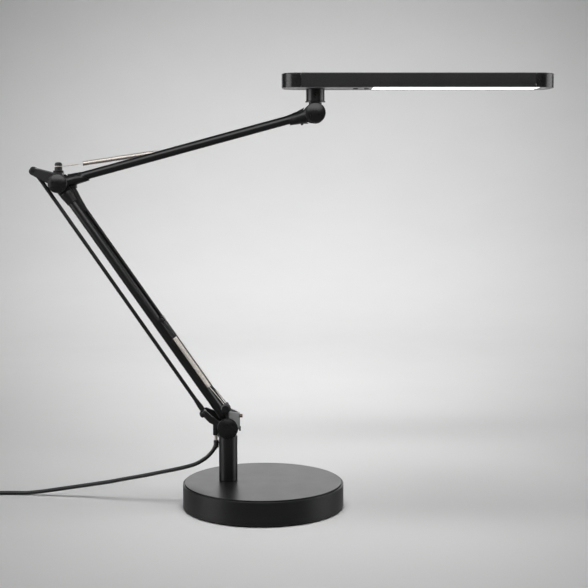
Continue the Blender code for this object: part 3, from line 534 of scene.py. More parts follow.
def coil_points():
    """Turns laid beside and on each other, three wide and three high, ending on top at the outside."""
    slots = ((1, 0), (0, 0), (-1, 0), (-1, 1), (0, 1), (1, 1), (-1, 2), (0, 2), (1, 2), (1, 2))  # across and up
    steps = 24
    points = []
    for i in range(1, round(COIL_TURNS * steps) + 1):
        turns = i / steps
        k = int(turns)
        part = turns - k
        (side, layer), (next_side, next_layer) = slots[k], slots[k + 1]
        if layer == next_layer:
            side += (next_side - side) * ease((part - 0.72) / 0.28)
        elif side == next_side:
            layer += ease((part - 0.42) / 0.36)
        else:
            layer += ease((part - 0.2) / 0.35)
            side += (next_side - side) * ease((part - 0.5) / 0.5)
        z = CORD_DIAMETER / 2 + 0.0001 + TURN_STEP * layer
        for crossing in (6.8, 7.8):
            z += 0.0048 * ease((turns - crossing + 0.4) / 0.28) * (1 - ease((turns - crossing - 0.12) / 0.28))
        a = pi / 2 + 2 * pi * turns
        r = COIL_RADIUS + TURN_STEP * side
        points.append(Vector((COIL_CENTRE.x + r * cos(a), COIL_CENTRE.y + r * sin(a), z)))
    return points


def make_plug():
    """Moulded plug with grip ribs, a flexible tail and two rounded pins."""
    profile = [(0, 0.0), (0.0031, 0.0), (0.0033, 0.0012)]
    for i in range(5):
        foot = 0.0016 + i * 0.0021
        wide = 0.0035 + i * 0.00012
        groove = wide - 0.0006
        profile += [(wide, foot), (wide, foot + 0.0011), (groove, foot + 0.0013), (groove, foot + 0.0019)]
    profile += [(0.0044, 0.0128), (0.0064, 0.0155), (0.0067, 0.0185)]
    for i in range(6):
        foot = 0.0195 + i * 0.0021
        profile += [(0.0067, foot), (0.0062, foot + 0.0004), (0.0062, foot + 0.001), (0.0067, foot + 0.0014)]
    profile += [(0.007, 0.0345), (0.007, 0.0362), (0.006, 0.04), (0, 0.04)]
    body = lathe("plug_moulding", profile, "plastic", PLUG_TAIL, PLUG_HEADING, 48, 0.00025)
    stand(body, "plug_body")
    pieces = [body]
    for label, side in (("a", -1), ("b", 1)):
        start = PLUG_TAIL + Vector((side * 0.0035, 0, 0))
        pin = [(0, 0.0403), (0.002, 0.0403), (0.002, 0.0572), (0.0013, 0.0588), (0, 0.059)]
        pin = lathe("plug_contact_" + label, pin, "zinc", start, PLUG_HEADING, 28)
        pieces.append(stand(pin, "plug_pin_" + label))
        sheath = pipe(0.00205, 0.0023, 0.0403, 0.048)
        sheath = lathe("plug_sheath_" + label, sheath, "plastic", start, PLUG_HEADING, 28, 0.0001, True)
        pieces.append(extra(sheath, "plug_body"))
    return pieces


def make_cord():
    """Cord from the strain relief to the table, its coil and its plug."""
    end = [PLUG_TAIL + Vector((0, 0.01, 0.0004)), PLUG_TAIL + PLUG_HEADING * 0.0006]
    route = [Vector(p) for p in CORD_ROUTE] + coil_points() + end
    line = smooth_line(route, 0.0035)
    data = bpy.data.curves.new("power_cord", "CURVE")
    data.dimensions = "3D"
    data.bevel_depth = CORD_DIAMETER / 2
    data.bevel_resolution = 5
    data.use_fill_caps = True
    spline = data.splines.new("POLY")
    spline.points.add(len(line) - 1)
    for slot, point in zip(spline.points, line):
        slot.co = (*point, 1.0)
    spline.use_smooth = True
    data.materials.append(M["cord"])
    cord = bpy.data.objects.new("power_cord", data)
    bpy.context.collection.objects.link(cord)
    stand(cord, "cord_tube", "cord_coil")

    start = Vector(CORD_ROUTE[0])
    top = at_arm(CLIP_X, RELIEF_TOP)
    run = top - start
    length = run.length
    relief = [(0.00255, 0.0001), (0.0028, 0.0001)]
    for i in range(3):
        foot = 0.0003 + i * 0.0019
        wide = 0.0029 + i * 0.00022
        groove = wide - 0.0003
        relief += [(wide, foot), (wide, foot + 0.0009), (groove, foot + 0.0011), (groove, foot + 0.0017)]
    relief += [(0.0035, length - 0.0004), (0.0035, length), (0.001, length)]
    relief = lathe("cord_relief", relief, "cord", start, run, 40, 0.00012, True)
    stand(relief, "strain_relief")
    make_plug()


make_cord()


# ---- base and pole
def make_base():
    """Base cover, foot pad, pole and cord clip."""
    wall = 0.0025
    foot = 0.0016
    ceiling = BASE_TOP - 0.003
    cover = [(0, ceiling), (BASE_RADIUS - wall, ceiling), (BASE_RADIUS - wall, foot), (BASE_RADIUS, foot),
             (BASE_RADIUS, BASE_TOP - 0.0021), (BASE_RADIUS - 0.0008, BASE_TOP - 0.0013),
             (BASE_RADIUS - 0.0011, BASE_TOP - 0.0013), (BASE_RADIUS - 0.0011, BASE_TOP - 0.0028),
             (BASE_RADIUS - 0.0023, BASE_TOP - 0.0028), (BASE_RADIUS - 0.0023, BASE_TOP - 0.0002),
             (BASE_RADIUS - 0.0026, BASE_TOP), (0.06, BASE_TOP), (0, BASE_TOP)]
    stand(weigh(lathe("base_shell", cover, "base", sides=192, radius=0.0002)), "base_cover")
    pad = [(0, 0.0006), (0.086, 0.0006), (0.0866, 0.0), (0.0915, 0.0), (0.092, 0.0005), (0.092, 0.004),
           (0, 0.004)]
    stand(lathe("foot_pad", pad, "rubber", sides=128), "base_pad")

    block_top = 0.0443
    low = BASE_TOP + 0.0002
    centre = (POLE_X - 0.0002, ARM_Y, 0)
    wide = POLE_RADIUS + 0.0004
    pole = [(0.0044, low), (wide, low), (wide, POLE_TOP - 0.0004), (wide - 0.0004, POLE_TOP), (0.0088, POLE_TOP),
            (0.0088, block_top), (0.0044, block_top)]
    stand(weigh(lathe("pole_post", pole, "paint", centre, sides=96, closed=True)), "pole")

    near = POLE_X - POLE_RADIUS - 0.0002
    body = [(0, 0.076), (0.0027, 0.076), (0.0032, 0.0768), (0.0032, 0.0786), (0.0028, 0.0789), (0.0028, 0.0794),
            (0.0032, 0.0797), (0.0032, 0.0818), (0.0026, CLIP_TOP), (0, CLIP_TOP)]
    clip = lathe("pole_clip", body, "plastic", (CLIP_X, ARM_Y, 0), sides=48)
    arm = block("clip_arm", (CLIP_X, 0.0004, 0.0782), (near + 0.0003, 0.0028, 0.08), None, 0.0004, 0.0006)
    stand(union(clip, arm), "cord_clip")


def wound_lead():
    """Short flexible lead with a wound metal sleeve between the clip and the bracket."""
    low = at_arm(CLIP_X, CLIP_TOP)
    high = at_arm(CLIP_X, 0.0897)
    per_turn = 20
    steps = 9 * per_turn
    path = []
    for i in range(steps + 1):
        a = 2 * pi * i / per_turn
        path.append(low.lerp(high, i / steps) + Vector((cos(a), sin(a), 0)) * 0.00155)
    lead = tube("lead_sleeve", path, 0.00042, "sleeve", 8)
    core = tube("lead_core", [low.lerp(high, i / 12) for i in range(13)], 0.0013, "sleeve", 16)
    for piece in (lead, core):
        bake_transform(piece)
    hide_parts("swivel_lead")


make_base()
wound_lead()


# ---- parts that repeat
def pivot_cap(name, pivot, radius, side):
    """Domed cap with a fine raised rim."""
    foot = CAP_IN + 0.0022
    domed = radius - 0.0008
    profile = [(0.0062, CAP_IN), (radius, CAP_IN), (radius, CAP_IN + 0.0019), (radius - 0.0004, CAP_IN + 0.0023),
               (domed, foot)]
    for t in (i / 8 for i in range(1, 9)):
        profile.append((domed * (1 - t), foot + 0.0023 * (1 - (1 - t) ** 2)))
    profile += [(0, CAP_IN + 0.0034), (0.0062, CAP_IN + 0.0034)]
    piece = lathe(name + "_dome", profile, "cap", at_arm(*pivot), (0, side, 0), 96, 0.00018, True)
    return stand(piece, name)


def hex_screw(name, centre, direction, head, height, key, depth, look, sides=48):
    """Screw head with a rounded rim and a hexagonal socket."""
    turn = Vector(direction).to_track_quat("Z", "Y").to_matrix()

    def hexagon(a):
        sector = (a + pi / 6) % (pi / 3) - pi / 6
        return key * cos(pi / 6) / cos(sector)

    rim = head * 0.14
    levels = [(head * 0.96, 0.0), (head, head * 0.05), (head, height - rim), (head - rim * 0.3, height - rim * 0.3),
              (head - rim, height), (None, height), (None, height - depth)]
    rings = []
    for radius, h in levels:
        ring = []
        for a in (2 * pi * i / sides for i in range(sides)):
            r = hexagon(a) if radius is None else radius
            ring.append(Vector(centre) + turn @ Vector((r * cos(a), r * sin(a), h)))
        rings.append(ring)
    return loft(name, rings, look, 40)


def headed_pin(name, node, pivot, head, out, shank, cap=0.001):
    """Pin along Y with a low domed head on each end."""
    profile = [(0, -out - cap), (head * 0.75, -out - cap), (head, -out - cap * 0.5), (head, -out - 0.0002),
               (shank, -out - 0.0002), (shank, out + 0.0002), (head, out + 0.0002), (head, out + cap * 0.5),
               (head * 0.75, out + cap), (0, out + cap)]
    return stand(lathe(name, profile, "cast", at_arm(*pivot), ACROSS, 40, 0.0002), node)


def loop_round(centre, radius, start, stop, axis_y=True, steps=20):
    """Points of a wire loop about an axis along Y, or along Z."""
    points = []
    for i in range(steps + 1):
        a = radians(start + (stop - start) * i / steps)
        x, z = radius * cos(a), radius * sin(a)
        points.append(Vector(centre) + (Vector((x, 0, z)) if axis_y else Vector((x, z, 0))))
    return points


def wound(a, b, radius, per_turn=14):
    """Points of a close-wound coil between two points, with its ends drawn in to the axis."""
    axis = b - a
    turns = round(axis.length / SPRING_PITCH)
    side = axis.orthogonal().normalized()
    other = axis.normalized().cross(side)
    points = []
    for i in range(turns * per_turn + 1):
        t = i / (turns * per_turn)
        angle = 2 * pi * i / per_turn
        near_end = min(i, turns * per_turn - i) / per_turn
        r = radius * (0.15 + 0.85 * ease(near_end / 0.8))
        points.append(a.lerp(b, t) + (side * cos(angle) + other * sin(angle)) * r)
    return points


# ---- swivel bracket
def bracket_nose():
    """Wall that turns in two slanted faces from one plate of the bracket to the other."""
    wide = PLATE_OUT - 0.0001
    cut = 0.0094
    thick = 0.003
    front = -0.029
    side = wide - cut
    step = side - 0.001
    outer = [(-0.045, -wide), (-0.0412, -wide), (front, -side), (front, side), (-0.0412, wide), (-0.045, wide)]
    wide -= thick
    inner = [(-0.045, wide), (-0.0422, wide), (front - thick, step), (front - thick, -step), (-0.0422, -wide),
             (-0.045, -wide)]
    outline = fillet([(x, ARM_Y + y) for x, y in outer + inner], 0.0012, True)
    # The nose takes the grey lug finish, a painted highlight on this face of the black casting.
    nose = slab("bracket_nose", outline, 0.0985, 0.1172, "lug", 0.0006)
    for vertex in nose.data.vertices:
        back = front - vertex.co.x
        if vertex.co.z > 0.108:
            vertex.co.z += 0.33 * back
        else:
            vertex.co.z -= min(0.007, 1.1 * back)
    return extra(nose, "bracket")


def make_bracket():
    """Forked bracket with its ear, lug, spring anchors, cable block, pins and caps."""
    ear = LOWER_PIVOT + LINK
    shared = arc(ear + Vector((0.0028, 0.0012)), 0.0038, 62, 238, 16)
    shared += fillet(((-0.069, 0.1085), (-0.0664, 0.107), (-0.058, 0.103), (-0.056, 0.101)), 0.002)[1:-1]
    shared += arc(LOWER_PIVOT, 0.012, 205, 300, 18)
    shared += fillet(((-0.038, 0.0905), (-0.0418, 0.094), (-0.0418, 0.118), (-0.042, 0.1206)), 0.0012)[1:]
    notch = fillet(((-0.05, 0.122), (-0.0484, 0.1192), (-0.0455, 0.114), (-0.05, 0.109), (-0.0548, 0.1096),
                    (-0.064, 0.116), (-0.0724, 0.1213)), 0.0016)[1:-1]
    near = shared + arc(ANCHOR + Vector((0.0004, -0.0003)), 0.006, -10, 212, 18) + notch
    far = shared + arc(ANCHOR, 0.003, -10, 190, 16) + [Vector((-0.056, 0.116))]
    near = prism("bracket_casting", near, -PLATE_OUT, -PLATE_IN, "cast", 0.0009)
    far = prism("bracket_far", far, PLATE_IN, PLATE_OUT, None, 0.0009)
    inside = PLATE_OUT - 0.0004
    top = LOWER_PIVOT.y - 0.0088
    floor = block("bracket_floor", (-0.0563, -inside, 0.0889), (-0.0352, inside, top), None, 0.0005, 0.006)
    bracket_nose()
    pin = lathe("bracket_pin", pipe(0, 0.0055, 0.064, 0.0905), None, (POLE_X, ARM_Y, 0), sides=48)
    stand(union(near, far, floor, pin), "bracket")

    headed_pin("ear_rivet", "ear_pin", ear, 0.0032, PLATE_OUT, 0.0019, 0.0011)

    for label, side in SIDES:
        size = 0.006 if side < 0 else 0.0024
        knob = [(0, PLATE_IN + 0.0003), (0.0021, PLATE_IN + 0.0003), (0.0021, PLATE_OUT),
                (size * 0.85, PLATE_OUT + 0.0001), (size * 0.85, PLATE_OUT + 0.0004),
                (size * 0.56, PLATE_OUT + 0.0006), (size * 0.56, SPRING_Y + 0.0009), (size * 0.96, SPRING_Y + 0.0014),
                (size, SPRING_Y + 0.002), (size, SPRING_Y + 0.003), (size * 0.72, SPRING_Y + 0.0042),
                (0, SPRING_Y + 0.0042)]
        piece = lathe("anchor_knob_" + label, knob, "cast", at_arm(*ANCHOR), (0, side, 0), 56, 0.0003)
        stand(piece, "spring_anchor_" + label)

    body = block("cable_housing", (-0.0624, -0.006, 0.0898), (-0.0566, 0.006, 0.1048), "plastic", 0.001, 0.002)
    groove = block("housing_seam", (-0.064, -0.008, 0.0958), (-0.055, 0.008, 0.0961), None, 0.0001)
    core = block("housing_core", (-0.0619, -0.0055, 0.0905), (-0.057, 0.0055, 0.104), None, 0.0005)
    stand(union(carve(body, groove), core), "cable_block")

    place = at_arm(-0.0294, 0.1142, -0.003)
    screw = hex_screw("lug_bolt", place, (1, 0, 0), 0.0022, 0.0038, 0.0011, 0.0014, "bronze")
    stand(screw, "lug_screw")
    tab = block("bracket_tab", (-0.03, -0.0036, 0.095), (-0.0278, 0.0004, 0.1006), "cast", 0.0004, 0.0006)
    extra(tab, "bracket")
    for label, side in SIDES:
        pivot_cap("lower_cap_" + label, LOWER_PIVOT - Vector((0, 0.0009)), 0.013, side)


make_bracket()


# ---- lower arm
def make_lower_arm():
    """Knuckle, tube, elbow sleeve, spring carrier, springs, adjusters and cable."""
    start = LOWER_PIVOT + along(LOWER_PIVOT, ELBOW_PIVOT)[1] * TUBE_SHIFT
    run, square = along(start, ELBOW_PIVOT)
    length = (ELBOW_PIVOT - start).length
    axis = Vector((run.x, 0, run.y))
    origin = at_arm(*start)

    def beside(forward, sideways):
        return start + run * forward + square * sideways

    def cable(forward, lift=0.0):
        return at_arm(*beside(forward, CABLE_OFFSET + lift))

    barrel = pipe(0, 0.0085, -0.009, 0.009)
    knuckle = lathe("lower_barrel", barrel, "cast", at_arm(*LOWER_PIVOT), ACROSS, 64, 0.0004)
    stub = lathe("lower_stub", pipe(0, 0.0051, 0.0015, 0.034), None, origin, axis, 40)
    stand(union(knuckle, stub), "lower_knuckle")

    profile = pipe(0.0054, TUBE_RADIUS, 0.0135, length - 0.029)
    stand(lathe("lower_arm_tube", profile, "paint", origin, axis, 80, 0.0004, True), "lower_tube")

    neck = ELBOW_PIVOT - run * 0.0165
    core = prism("elbow_lower_sleeve", tapered_link(ELBOW_PIVOT, 0.0088, neck, 0.008), -0.0052, 0.0052, "cast",
                 0.0006)
    cone = [(0, 0.0138), (0.0086, 0.0138), (0.0086, 0.0175), (0.0074, 0.0262), (0.0074, 0.0287), (0.0051, 0.0287),
            (0.0051, 0.046), (0, 0.046)]
    cone = lathe("elbow_cone", cone, None, at_arm(*ELBOW_PIVOT), -axis, 64, 0.0005)
    stand(union(core, cone), "elbow_sleeve")

    reach = (CARRIER_PIN - start).dot(run)
    low = TUBE_RADIUS + 0.0001
    outline = fillet(((-0.005, low), (0.005, low), (0.003, 0.0102), (-0.003, 0.0102)), 0.0008, True)
    outline = [beside(reach + forward, sideways) for forward, sideways in outline]
    carrier = prism("carrier_block", outline, -0.0048, 0.0048, "cast", 0.0006)
    pin = lathe("carrier_pin", pipe(0, 0.0011, -0.013, 0.013), None, at_arm(*SPRING_EYE), ACROSS, 32)
    slot = [cable(reach + forward) for forward in (-0.02, -0.01, 0.0, 0.01, 0.02)]
    slot = tube("carrier_slot", slot, CABLE_RADIUS + 0.0002, None, 24)
    stand(union(carve(carrier, slot), pin), "spring_carrier")

    for label, side in SIDES:
        make_lower_spring(label, side)

    middle = cable(0.15)
    lower = [at_arm(-0.0345, 0.1085), at_arm(-0.0385, 0.115), at_arm(-0.044, 0.122), cable(0.036), cable(0.06),
             cable(0.1), middle]
    upper = [middle, cable(0.2), cable(0.26), cable(length - 0.05), cable(length - 0.038, 0.0006),
             cable(length - 0.029, 0.0015), cable(length - 0.021, 0.0027), cable(length - 0.014, 0.0033),
             at_arm(-0.2328, 0.4004), at_arm(-0.2375, 0.4028)]
    piece = tube("arm_cable_lower", smooth_line(lower, 0.003), CABLE_RADIUS, "cord", 24)
    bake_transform(piece)
    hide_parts("arm_cable")
    piece = tube("arm_cable_upper", smooth_line(upper, 0.003), CABLE_RADIUS, "cord", 24)
    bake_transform(piece)
    saddle = [beside(length - back, sideways) for back, sideways in (
        (0.046, CABLE_OFFSET - 0.001), (0.029, CABLE_OFFSET + 0.0012), (0.0135, CABLE_OFFSET + 0.0028),
        (0.0135, 0.005), (0.046, 0.005))]
    extra(prism("cable_saddle", fillet(saddle, 0.0004, True), -0.003, 0.003, "plastic", 0.0004), "elbow_sleeve")
    # Cable guide drawn long as a black filler over the gap between the elbow sleeve and the cable: partly a real
    # guide, partly painted shade where that gap lies in shadow.
    guide = block("cable_guide_shade_filler", (-0.2368, -0.004, 0.3962), (-0.2272, 0.004, 0.4012), "plastic", 0.0008, 0.0016)
    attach(guide, "elbow_plate")


def make_lower_spring(label, side):
    """Coil spring from the anchor knob to its threaded adjuster on the carrier pin."""
    y = side * COIL_Y
    sink = max(0.0, side) * 0.0008

    def deep(x, z):
        return at_arm(x - sink, z - 0.7 * sink, y)

    size = 0.0037 if side < 0 else 0.002
    loop = loop_round(at_arm(*ANCHOR, side * SPRING_Y), size, -215, 100)
    turn_in = at_arm(-0.06, 0.1452, side * (COIL_Y + 0.0012))
    lead = [loop[-1].lerp(turn_in, t) for t in (0.3, 0.6, 0.85, 1.0)]
    coil = wound(deep(-0.0662, 0.1517), deep(-0.1089, 0.2137), 0.0024)
    wires = [0.00062] * len(loop + lead) + [0.00039] * len(coil)
    spring = tube("lower_coil_" + label, loop + lead + coil, wires, "spring", 7)
    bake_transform(spring)
    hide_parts("lower_spring_" + label)

    start = deep(-0.1087, 0.2134)
    run = deep(-0.1217, 0.2322) - start
    length = run.length
    profile = [(0, 0.0), (0.002, 0.0)]
    ribs = 11
    step = (length - 0.003) / ribs
    for i in range(ribs):
        foot = 0.0006 + (length - 0.003) * i / ribs
        profile += [(0.0019, foot), (0.0024, foot + step * 0.35), (0.0024, foot + step * 0.6),
                    (0.0019, foot + step * 0.95)]
    profile += [(0.0021, length - 0.0022), (0.0021, length + 0.0006), (0, length + 0.0006)]
    screw = lathe("spring_screw_" + label, profile, "cast", start, run, 32, 0.0001)
    eye = pipe(0.0008, 0.0023, -0.0013, 0.0013)
    eye = lathe("spring_eye", eye, None, at_arm(*SPRING_EYE, y), ACROSS, 40, 0.0004, True)
    stand(union(screw, eye), "spring_adjuster_" + label)


make_lower_arm()


# ---- parallel rod and elbow plate
def make_rod():
    """Parallel rod that widens towards the eye at each end."""
    lower = LOWER_PIVOT + LINK
    upper = ELBOW_PIVOT + LINK
    foot = lower + along(lower, upper)[1] * 0.0017
    run, _ = along(foot, upper)
    length = (upper - foot).length
    profile = [(0, 0.0032), (0.0034, 0.0032), (0.0033, 0.009), (0.0025, 0.02), (0.0024, 0.03),
               (0.0024, length - 0.02), (0.0028, length - 0.006), (0.0028, length - 0.0032), (0, length - 0.0032)]
    bar = lathe("rod_bar", profile, "paint", at_arm(*foot), (run.x, 0, run.y), 48, 0.001)
    eyes = []
    for centre, radius in ((lower, 0.0044), (upper, 0.0042)):
        profile = pipe(0.002, radius, -0.005, 0.005)
        eyes.append(lathe("rod_eye", profile, None, at_arm(*centre), ACROSS, 48, 0.0005, True))
    stand(union(bar, *eyes), "parallel_rod")


def make_elbow():
    """Lever with two cheeks, spring post and rod pin."""
    eye = ELBOW_PIVOT + LINK
    outline = tapered_link(ELBOW_PIVOT + Vector((-0.0006, 0.0026)), 0.0083, eye - Vector((0, 0.0016)), 0.0045, 24)
    near = prism("elbow_plate_lever", outline, -0.0091, -0.0056, "plate", 0.0009)
    far = prism("elbow_far_cheek", outline, 0.0056, 0.0091, None, 0.0009)
    x, z = ELBOW_PIVOT
    web = block("elbow_bridge", (x - 0.007, -0.0088, z + 0.01), (x + 0.0052, 0.0088, z + 0.0128), None, 0.0006, 0.0014)
    stand(union(near, far, web), "elbow_lever")

    post = [(0, 0.0), (0.0062, 0.0), (0.0066, 0.0034), (0.0047, 0.0038), (0.0047, 0.0074), (0.004, 0.008),
            (0.004, 0.0092), (0.0047, 0.0098), (0.0046, 0.0112), (0.0036, 0.013), (0.0018, 0.0136), (0, 0.0137)]
    foot = at_arm(*(ELBOW_PIVOT + POST_FOOT))
    stand(lathe("elbow_post", post, "cast", foot, sides=56, radius=0.0004), "spring_post")
    headed_pin("rod_rivet", "rod_pin", eye, 0.003, 0.0091, 0.0019)


make_rod()
make_elbow()


# ---- upper arm
def forked_sleeve(name, node, pivot, inward, square, cheek_radius, neck, sleeve, slant=0.0):
    """Horn-shaped fork: rounded cheeks around a pivot that flow into a round sleeve, with a slanted end if asked."""
    reach, half = neck
    last, last_radius = sleeve
    lean = asin((cheek_radius - half) / reach)
    turn_off = cheek_radius * sin(lean)
    stations = [-cheek_radius * cos(pi / 2 * k / 16) for k in range(16)]
    stations += [turn_off * k / 4 for k in range(4)]
    stations += [turn_off + (last - turn_off) * k / 44 for k in range(45)]
    stations[0] *= 0.9995
    rings = []
    for d in stations:
        if d < turn_off:
            high = sqrt(cheek_radius**2 - d**2)
        elif d < reach:
            high = (cheek_radius - d * sin(lean)) / cos(lean)
        else:
            high = half + (last_radius - half) * ease((d - reach) / (last - reach))
        change = max(0.0, min(1.0, (d - 0.0115) / (last - 0.0145)))
        wide = PLATE_OUT + (high - PLATE_OUT) * change
        power = 2 / (2 + 4 * ease(1 - (d - 0.002) / 0.012))
        ring = []
        for i in range(72):
            a = 2 * pi * i / 72
            c, k = cos(a), sin(a)
            y = copysign(wide * abs(c) ** power, c)
            side = copysign(high * abs(k) ** power, k)
            shift = slant * side * ease((d - last + 0.012) / 0.012)
            point = pivot + inward * (d + shift) + square * side
            ring.append(at_arm(point.x, point.y, y))
        rings.append(ring)
    body = loft(name, rings, "cast", 40)
    inner = pipe(0, 0.0041, last - 0.012, last + 0.01)
    inner = lathe("stub", inner, None, at_arm(*pivot), (inward.x, 0, inward.y), 40)
    union(body, inner)
    gap = lathe("gap", pipe(0, 0.015, -PLATE_IN, PLATE_IN), None, at_arm(*pivot), ACROSS, 72, 0.0008)
    return stand(carve(body, gap), node)


def make_upper_arm():
    """Forks at the elbow and the head, tube, spring and its stud, screw and caps."""
    run, square = along(ELBOW_PIVOT, HEAD_PIVOT)
    length = (HEAD_PIVOT - ELBOW_PIVOT).length
    axis = Vector((run.x, 0, run.y))
    forked_sleeve("elbow_upper_fork", "upper_fork", ELBOW_PIVOT, run, square, 0.009, (0.0225, 0.0071),
                  (0.0332, 0.0064), 0.62)
    forked_sleeve("head_end_fork", "tip_fork", HEAD_PIVOT, -run, square, 0.0126, (0.0205, 0.0078), (0.0334, 0.0064))

    base = at_arm(*(ELBOW_PIVOT - square * 0.0007))
    profile = pipe(0.0044, 0.0054, 0.027, length - 0.029)
    stand(lathe("upper_arm_tube", profile, "paint", base, axis, 72, 0.0004, True), "upper_tube")

    post = at_arm(*(ELBOW_PIVOT + POST_FOOT)) + Vector((0, 0, 0.0086))
    coil_a = at_arm(-0.2208, 0.4262, 0.0064)
    coil_b = at_arm(-0.129, 0.4399, 0.0092)
    pin_at = ELBOW_PIVOT + run * ((Vector((-0.0958, 0.4445)) - ELBOW_PIVOT).dot(run) + 0.0024)
    loop = loop_round(post, 0.0042, -190, 82, False)
    hooked = loop_round(at_arm(*pin_at, 0.01), 0.002, 100, -190)
    lead = [loop[-1].lerp(coil_a, t) for t in (0.3, 0.65)]
    coil = wound(coil_a, coil_b, 0.0025)
    hook = [coil_b.lerp(hooked[0], t) for t in (0.15, 0.5, 0.85)] + hooked
    parts = ((loop, 0.00055), (lead, 0.00085), (coil, 0.0004), (hook, 0.00062))
    path = [point for points, _ in parts for point in points]
    wires = [wire for points, wire in parts for _ in points]
    spring = tube("upper_coil", path, wires, "spring", 7)
    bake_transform(spring)
    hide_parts("upper_spring")

    pin = [(0, 0.0053), (0.0034, 0.0053), (0.003, 0.0085), (0.0014, 0.0088), (0.0014, 0.0112), (0.0026, 0.0115),
           (0.0026, 0.013), (0, 0.013)]
    stand(lathe("spring_stud", pin, "cast", at_arm(*pin_at), ACROSS, 40, 0.0003), "upper_spring_pin")

    tab = HEAD_PIVOT - run * 0.019 + square * 0.0074
    screw = hex_screw("fork_screw", at_arm(*tab), (square.x, 0, square.y), 0.0016, 0.0024, 0.0008, 0.0012, "dark")
    stand(screw, "tip_screw")
    for joint, pivot, radius in (("elbow", ELBOW_PIVOT, 0.0118), ("head", HEAD_PIVOT, 0.0124)):
        for label, side in SIDES:
            pivot_cap(joint + "_cap_" + label, pivot, radius, side)


make_upper_arm()


# ---- head
def head_plan(left, right, half, left_radius, right_radius, steps=14):
    """Plan outline about the head's centre line, with rounded or square ends."""
    points = []
    corners = ((1, 1, right, right_radius), (-1, 1, left, left_radius), (-1, -1, left, left_radius),
               (1, -1, right, right_radius))
    for quarter, (sx, sy, x, radius) in enumerate(corners):
        if radius > 0:
            centre = (x - sx * radius, ARM_Y + sy * half - sy * radius)
            points += arc(centre, radius, 90 * quarter, 90 * quarter + 90, steps)
        else:
            points.append(Vector((x, ARM_Y + sy * half)))
    return points


def shell(name, node, look, left, right, left_radius=0, right_radius=0):
    """Part of the head's housing: rounded top rim, open below, and open at an end without a radius, its seam."""
    edge = 0.0013
    wall = 0.0022
    past = 0.01
    steps = 5
    levels = [(HEAD_BOTTOM, 0.0002), (HEAD_BOTTOM + 0.0002, 0.0)]
    for k in range(steps + 1):
        a = pi / 2 * k / steps
        levels.append((HEAD_TOP - edge + edge * sin(a), edge * (1 - cos(a))))

    def ring(z, inset, seam):
        ends = []
        for x, radius, inwards in ((left, left_radius, 1), (right, right_radius, -1)):
            ends.append((x + inwards * inset, radius - inset) if radius else (x - inwards * seam, 0))
        (l, lr), (r, rr) = ends
        return [(p.x, p.y, z) for p in head_plan(l, r, HEAD_HALF - inset, lr, rr)]

    body = loft(name, [ring(z, inset, 0) for z, inset in levels], look)
    hollow = loft("hollow", [ring(z, wall, past) for z in (HEAD_BOTTOM - past, HEAD_TOP - 0.0025)], None)
    stand(carve(body, hollow), node)


def make_head():
    """Neck, socket with its grub screw, and the housing in three parts."""
    x, z = HEAD_PIVOT
    centre = (x, ARM_Y, 0)
    barrel = lathe("head_barrel", pipe(0, 0.0108, -0.009, 0.009), "cast", at_arm(x, z), ACROSS, 72, 0.0006)
    neck = [(0, z + 0.002), (0.0083, z + 0.002), (0.0079, 0.4999), (0.005, 0.4999), (0.005, 0.5125), (0, 0.5125)]
    neck = lathe("neck", neck, None, centre, sides=64, radius=0.0004)
    stand(union(barrel, neck), "head_knuckle")

    socket = [(0.0051, 0.5003), (0.01235, 0.5003), (0.01235, 0.5015), (0.0114, 0.5019),
              (0.0114, HEAD_BOTTOM - 0.0001), (0, HEAD_BOTTOM - 0.0001), (0, 0.513), (0.0051, 0.513)]
    socket = lathe("socket_cup", socket, "paint", centre, sides=80, closed=True)
    hole = lathe("screw_hole", pipe(0, 0.0019, -0.013, -0.0075), None, at_arm(x, SCREW_Z), ACROSS, 32, 0.0001)
    stand(carve(socket, hole), "head_socket")
    screw = hex_screw("socket_grub", at_arm(x, SCREW_Z, -0.0076), (0, -1, 0), 0.0016, 0.003, 0.0009, 0.0012, "dark")
    stand(screw, "socket_screw")

    left_seam, right_seam = HEAD_SEAMS
    gap = 0.00015
    shell("housing_left_cap", "head_end_left", "end", HEAD_LEFT, left_seam - gap, left_radius=HEAD_CORNER)
    shell("housing_bar", "head_housing", "head", left_seam + gap, right_seam - gap)
    shell("housing_right_cap", "head_end_right", "end", right_seam + gap, HEAD_RIGHT, right_radius=HEAD_CORNER)


make_head()


def make_underside():
    """Panel with its light window and button holes, the light panel and the buttons."""
    low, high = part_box("head_panel")
    below, above = low.z - 0.002, high.z + 0.002
    corner = HEAD_CORNER - 0.0025
    panel = head_plan(low.x, high.x, (high.y - low.y) / 2, corner, corner)
    panel = slab("underside_panel", panel, low.z, high.z, "panel", 0.0003, 3)
    light_low, light_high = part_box("light_panel")
    half = (light_high.y - light_low.y) / 2
    play = 0.0003
    window = head_plan(light_low.x - play, light_high.x + play, half + play, 0.0022, 0.0022, 8)
    helpers = [slab("window", window, below, above, None, 0.0001, 1)]
    buttons = {}
    for node in ("power_button", "dimmer_button"):
        a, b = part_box(node)
        centre = ((a.x + b.x) / 2, (a.y + b.y) / 2, 0)
        helpers.append(lathe("button_hole", pipe(0, 0.0034, below, above), None, centre, sides=48, radius=0))
        buttons[node] = centre, (b.x - a.x) / 2, a.z, b.z
    stand(carve(panel, *helpers), "head_panel")

    plan = head_plan(light_low.x, light_high.x, half, 0.002, 0.002, 8)
    stand(slab("opal_panel", plan, light_low.z, light_high.z, "diffuser", 0.0003, 3), "light_panel")

    for node, (centre, radius, face, top) in buttons.items():
        profile = [(0, face + 0.0003), (radius * 0.55, face + 0.00025), (radius * 0.85, face),
                   (radius, face + 0.0003), (radius, top), (0, top)]
        stand(lathe(node + "_key", profile, "plastic", centre, sides=56, radius=0.0002), node)


make_underside()


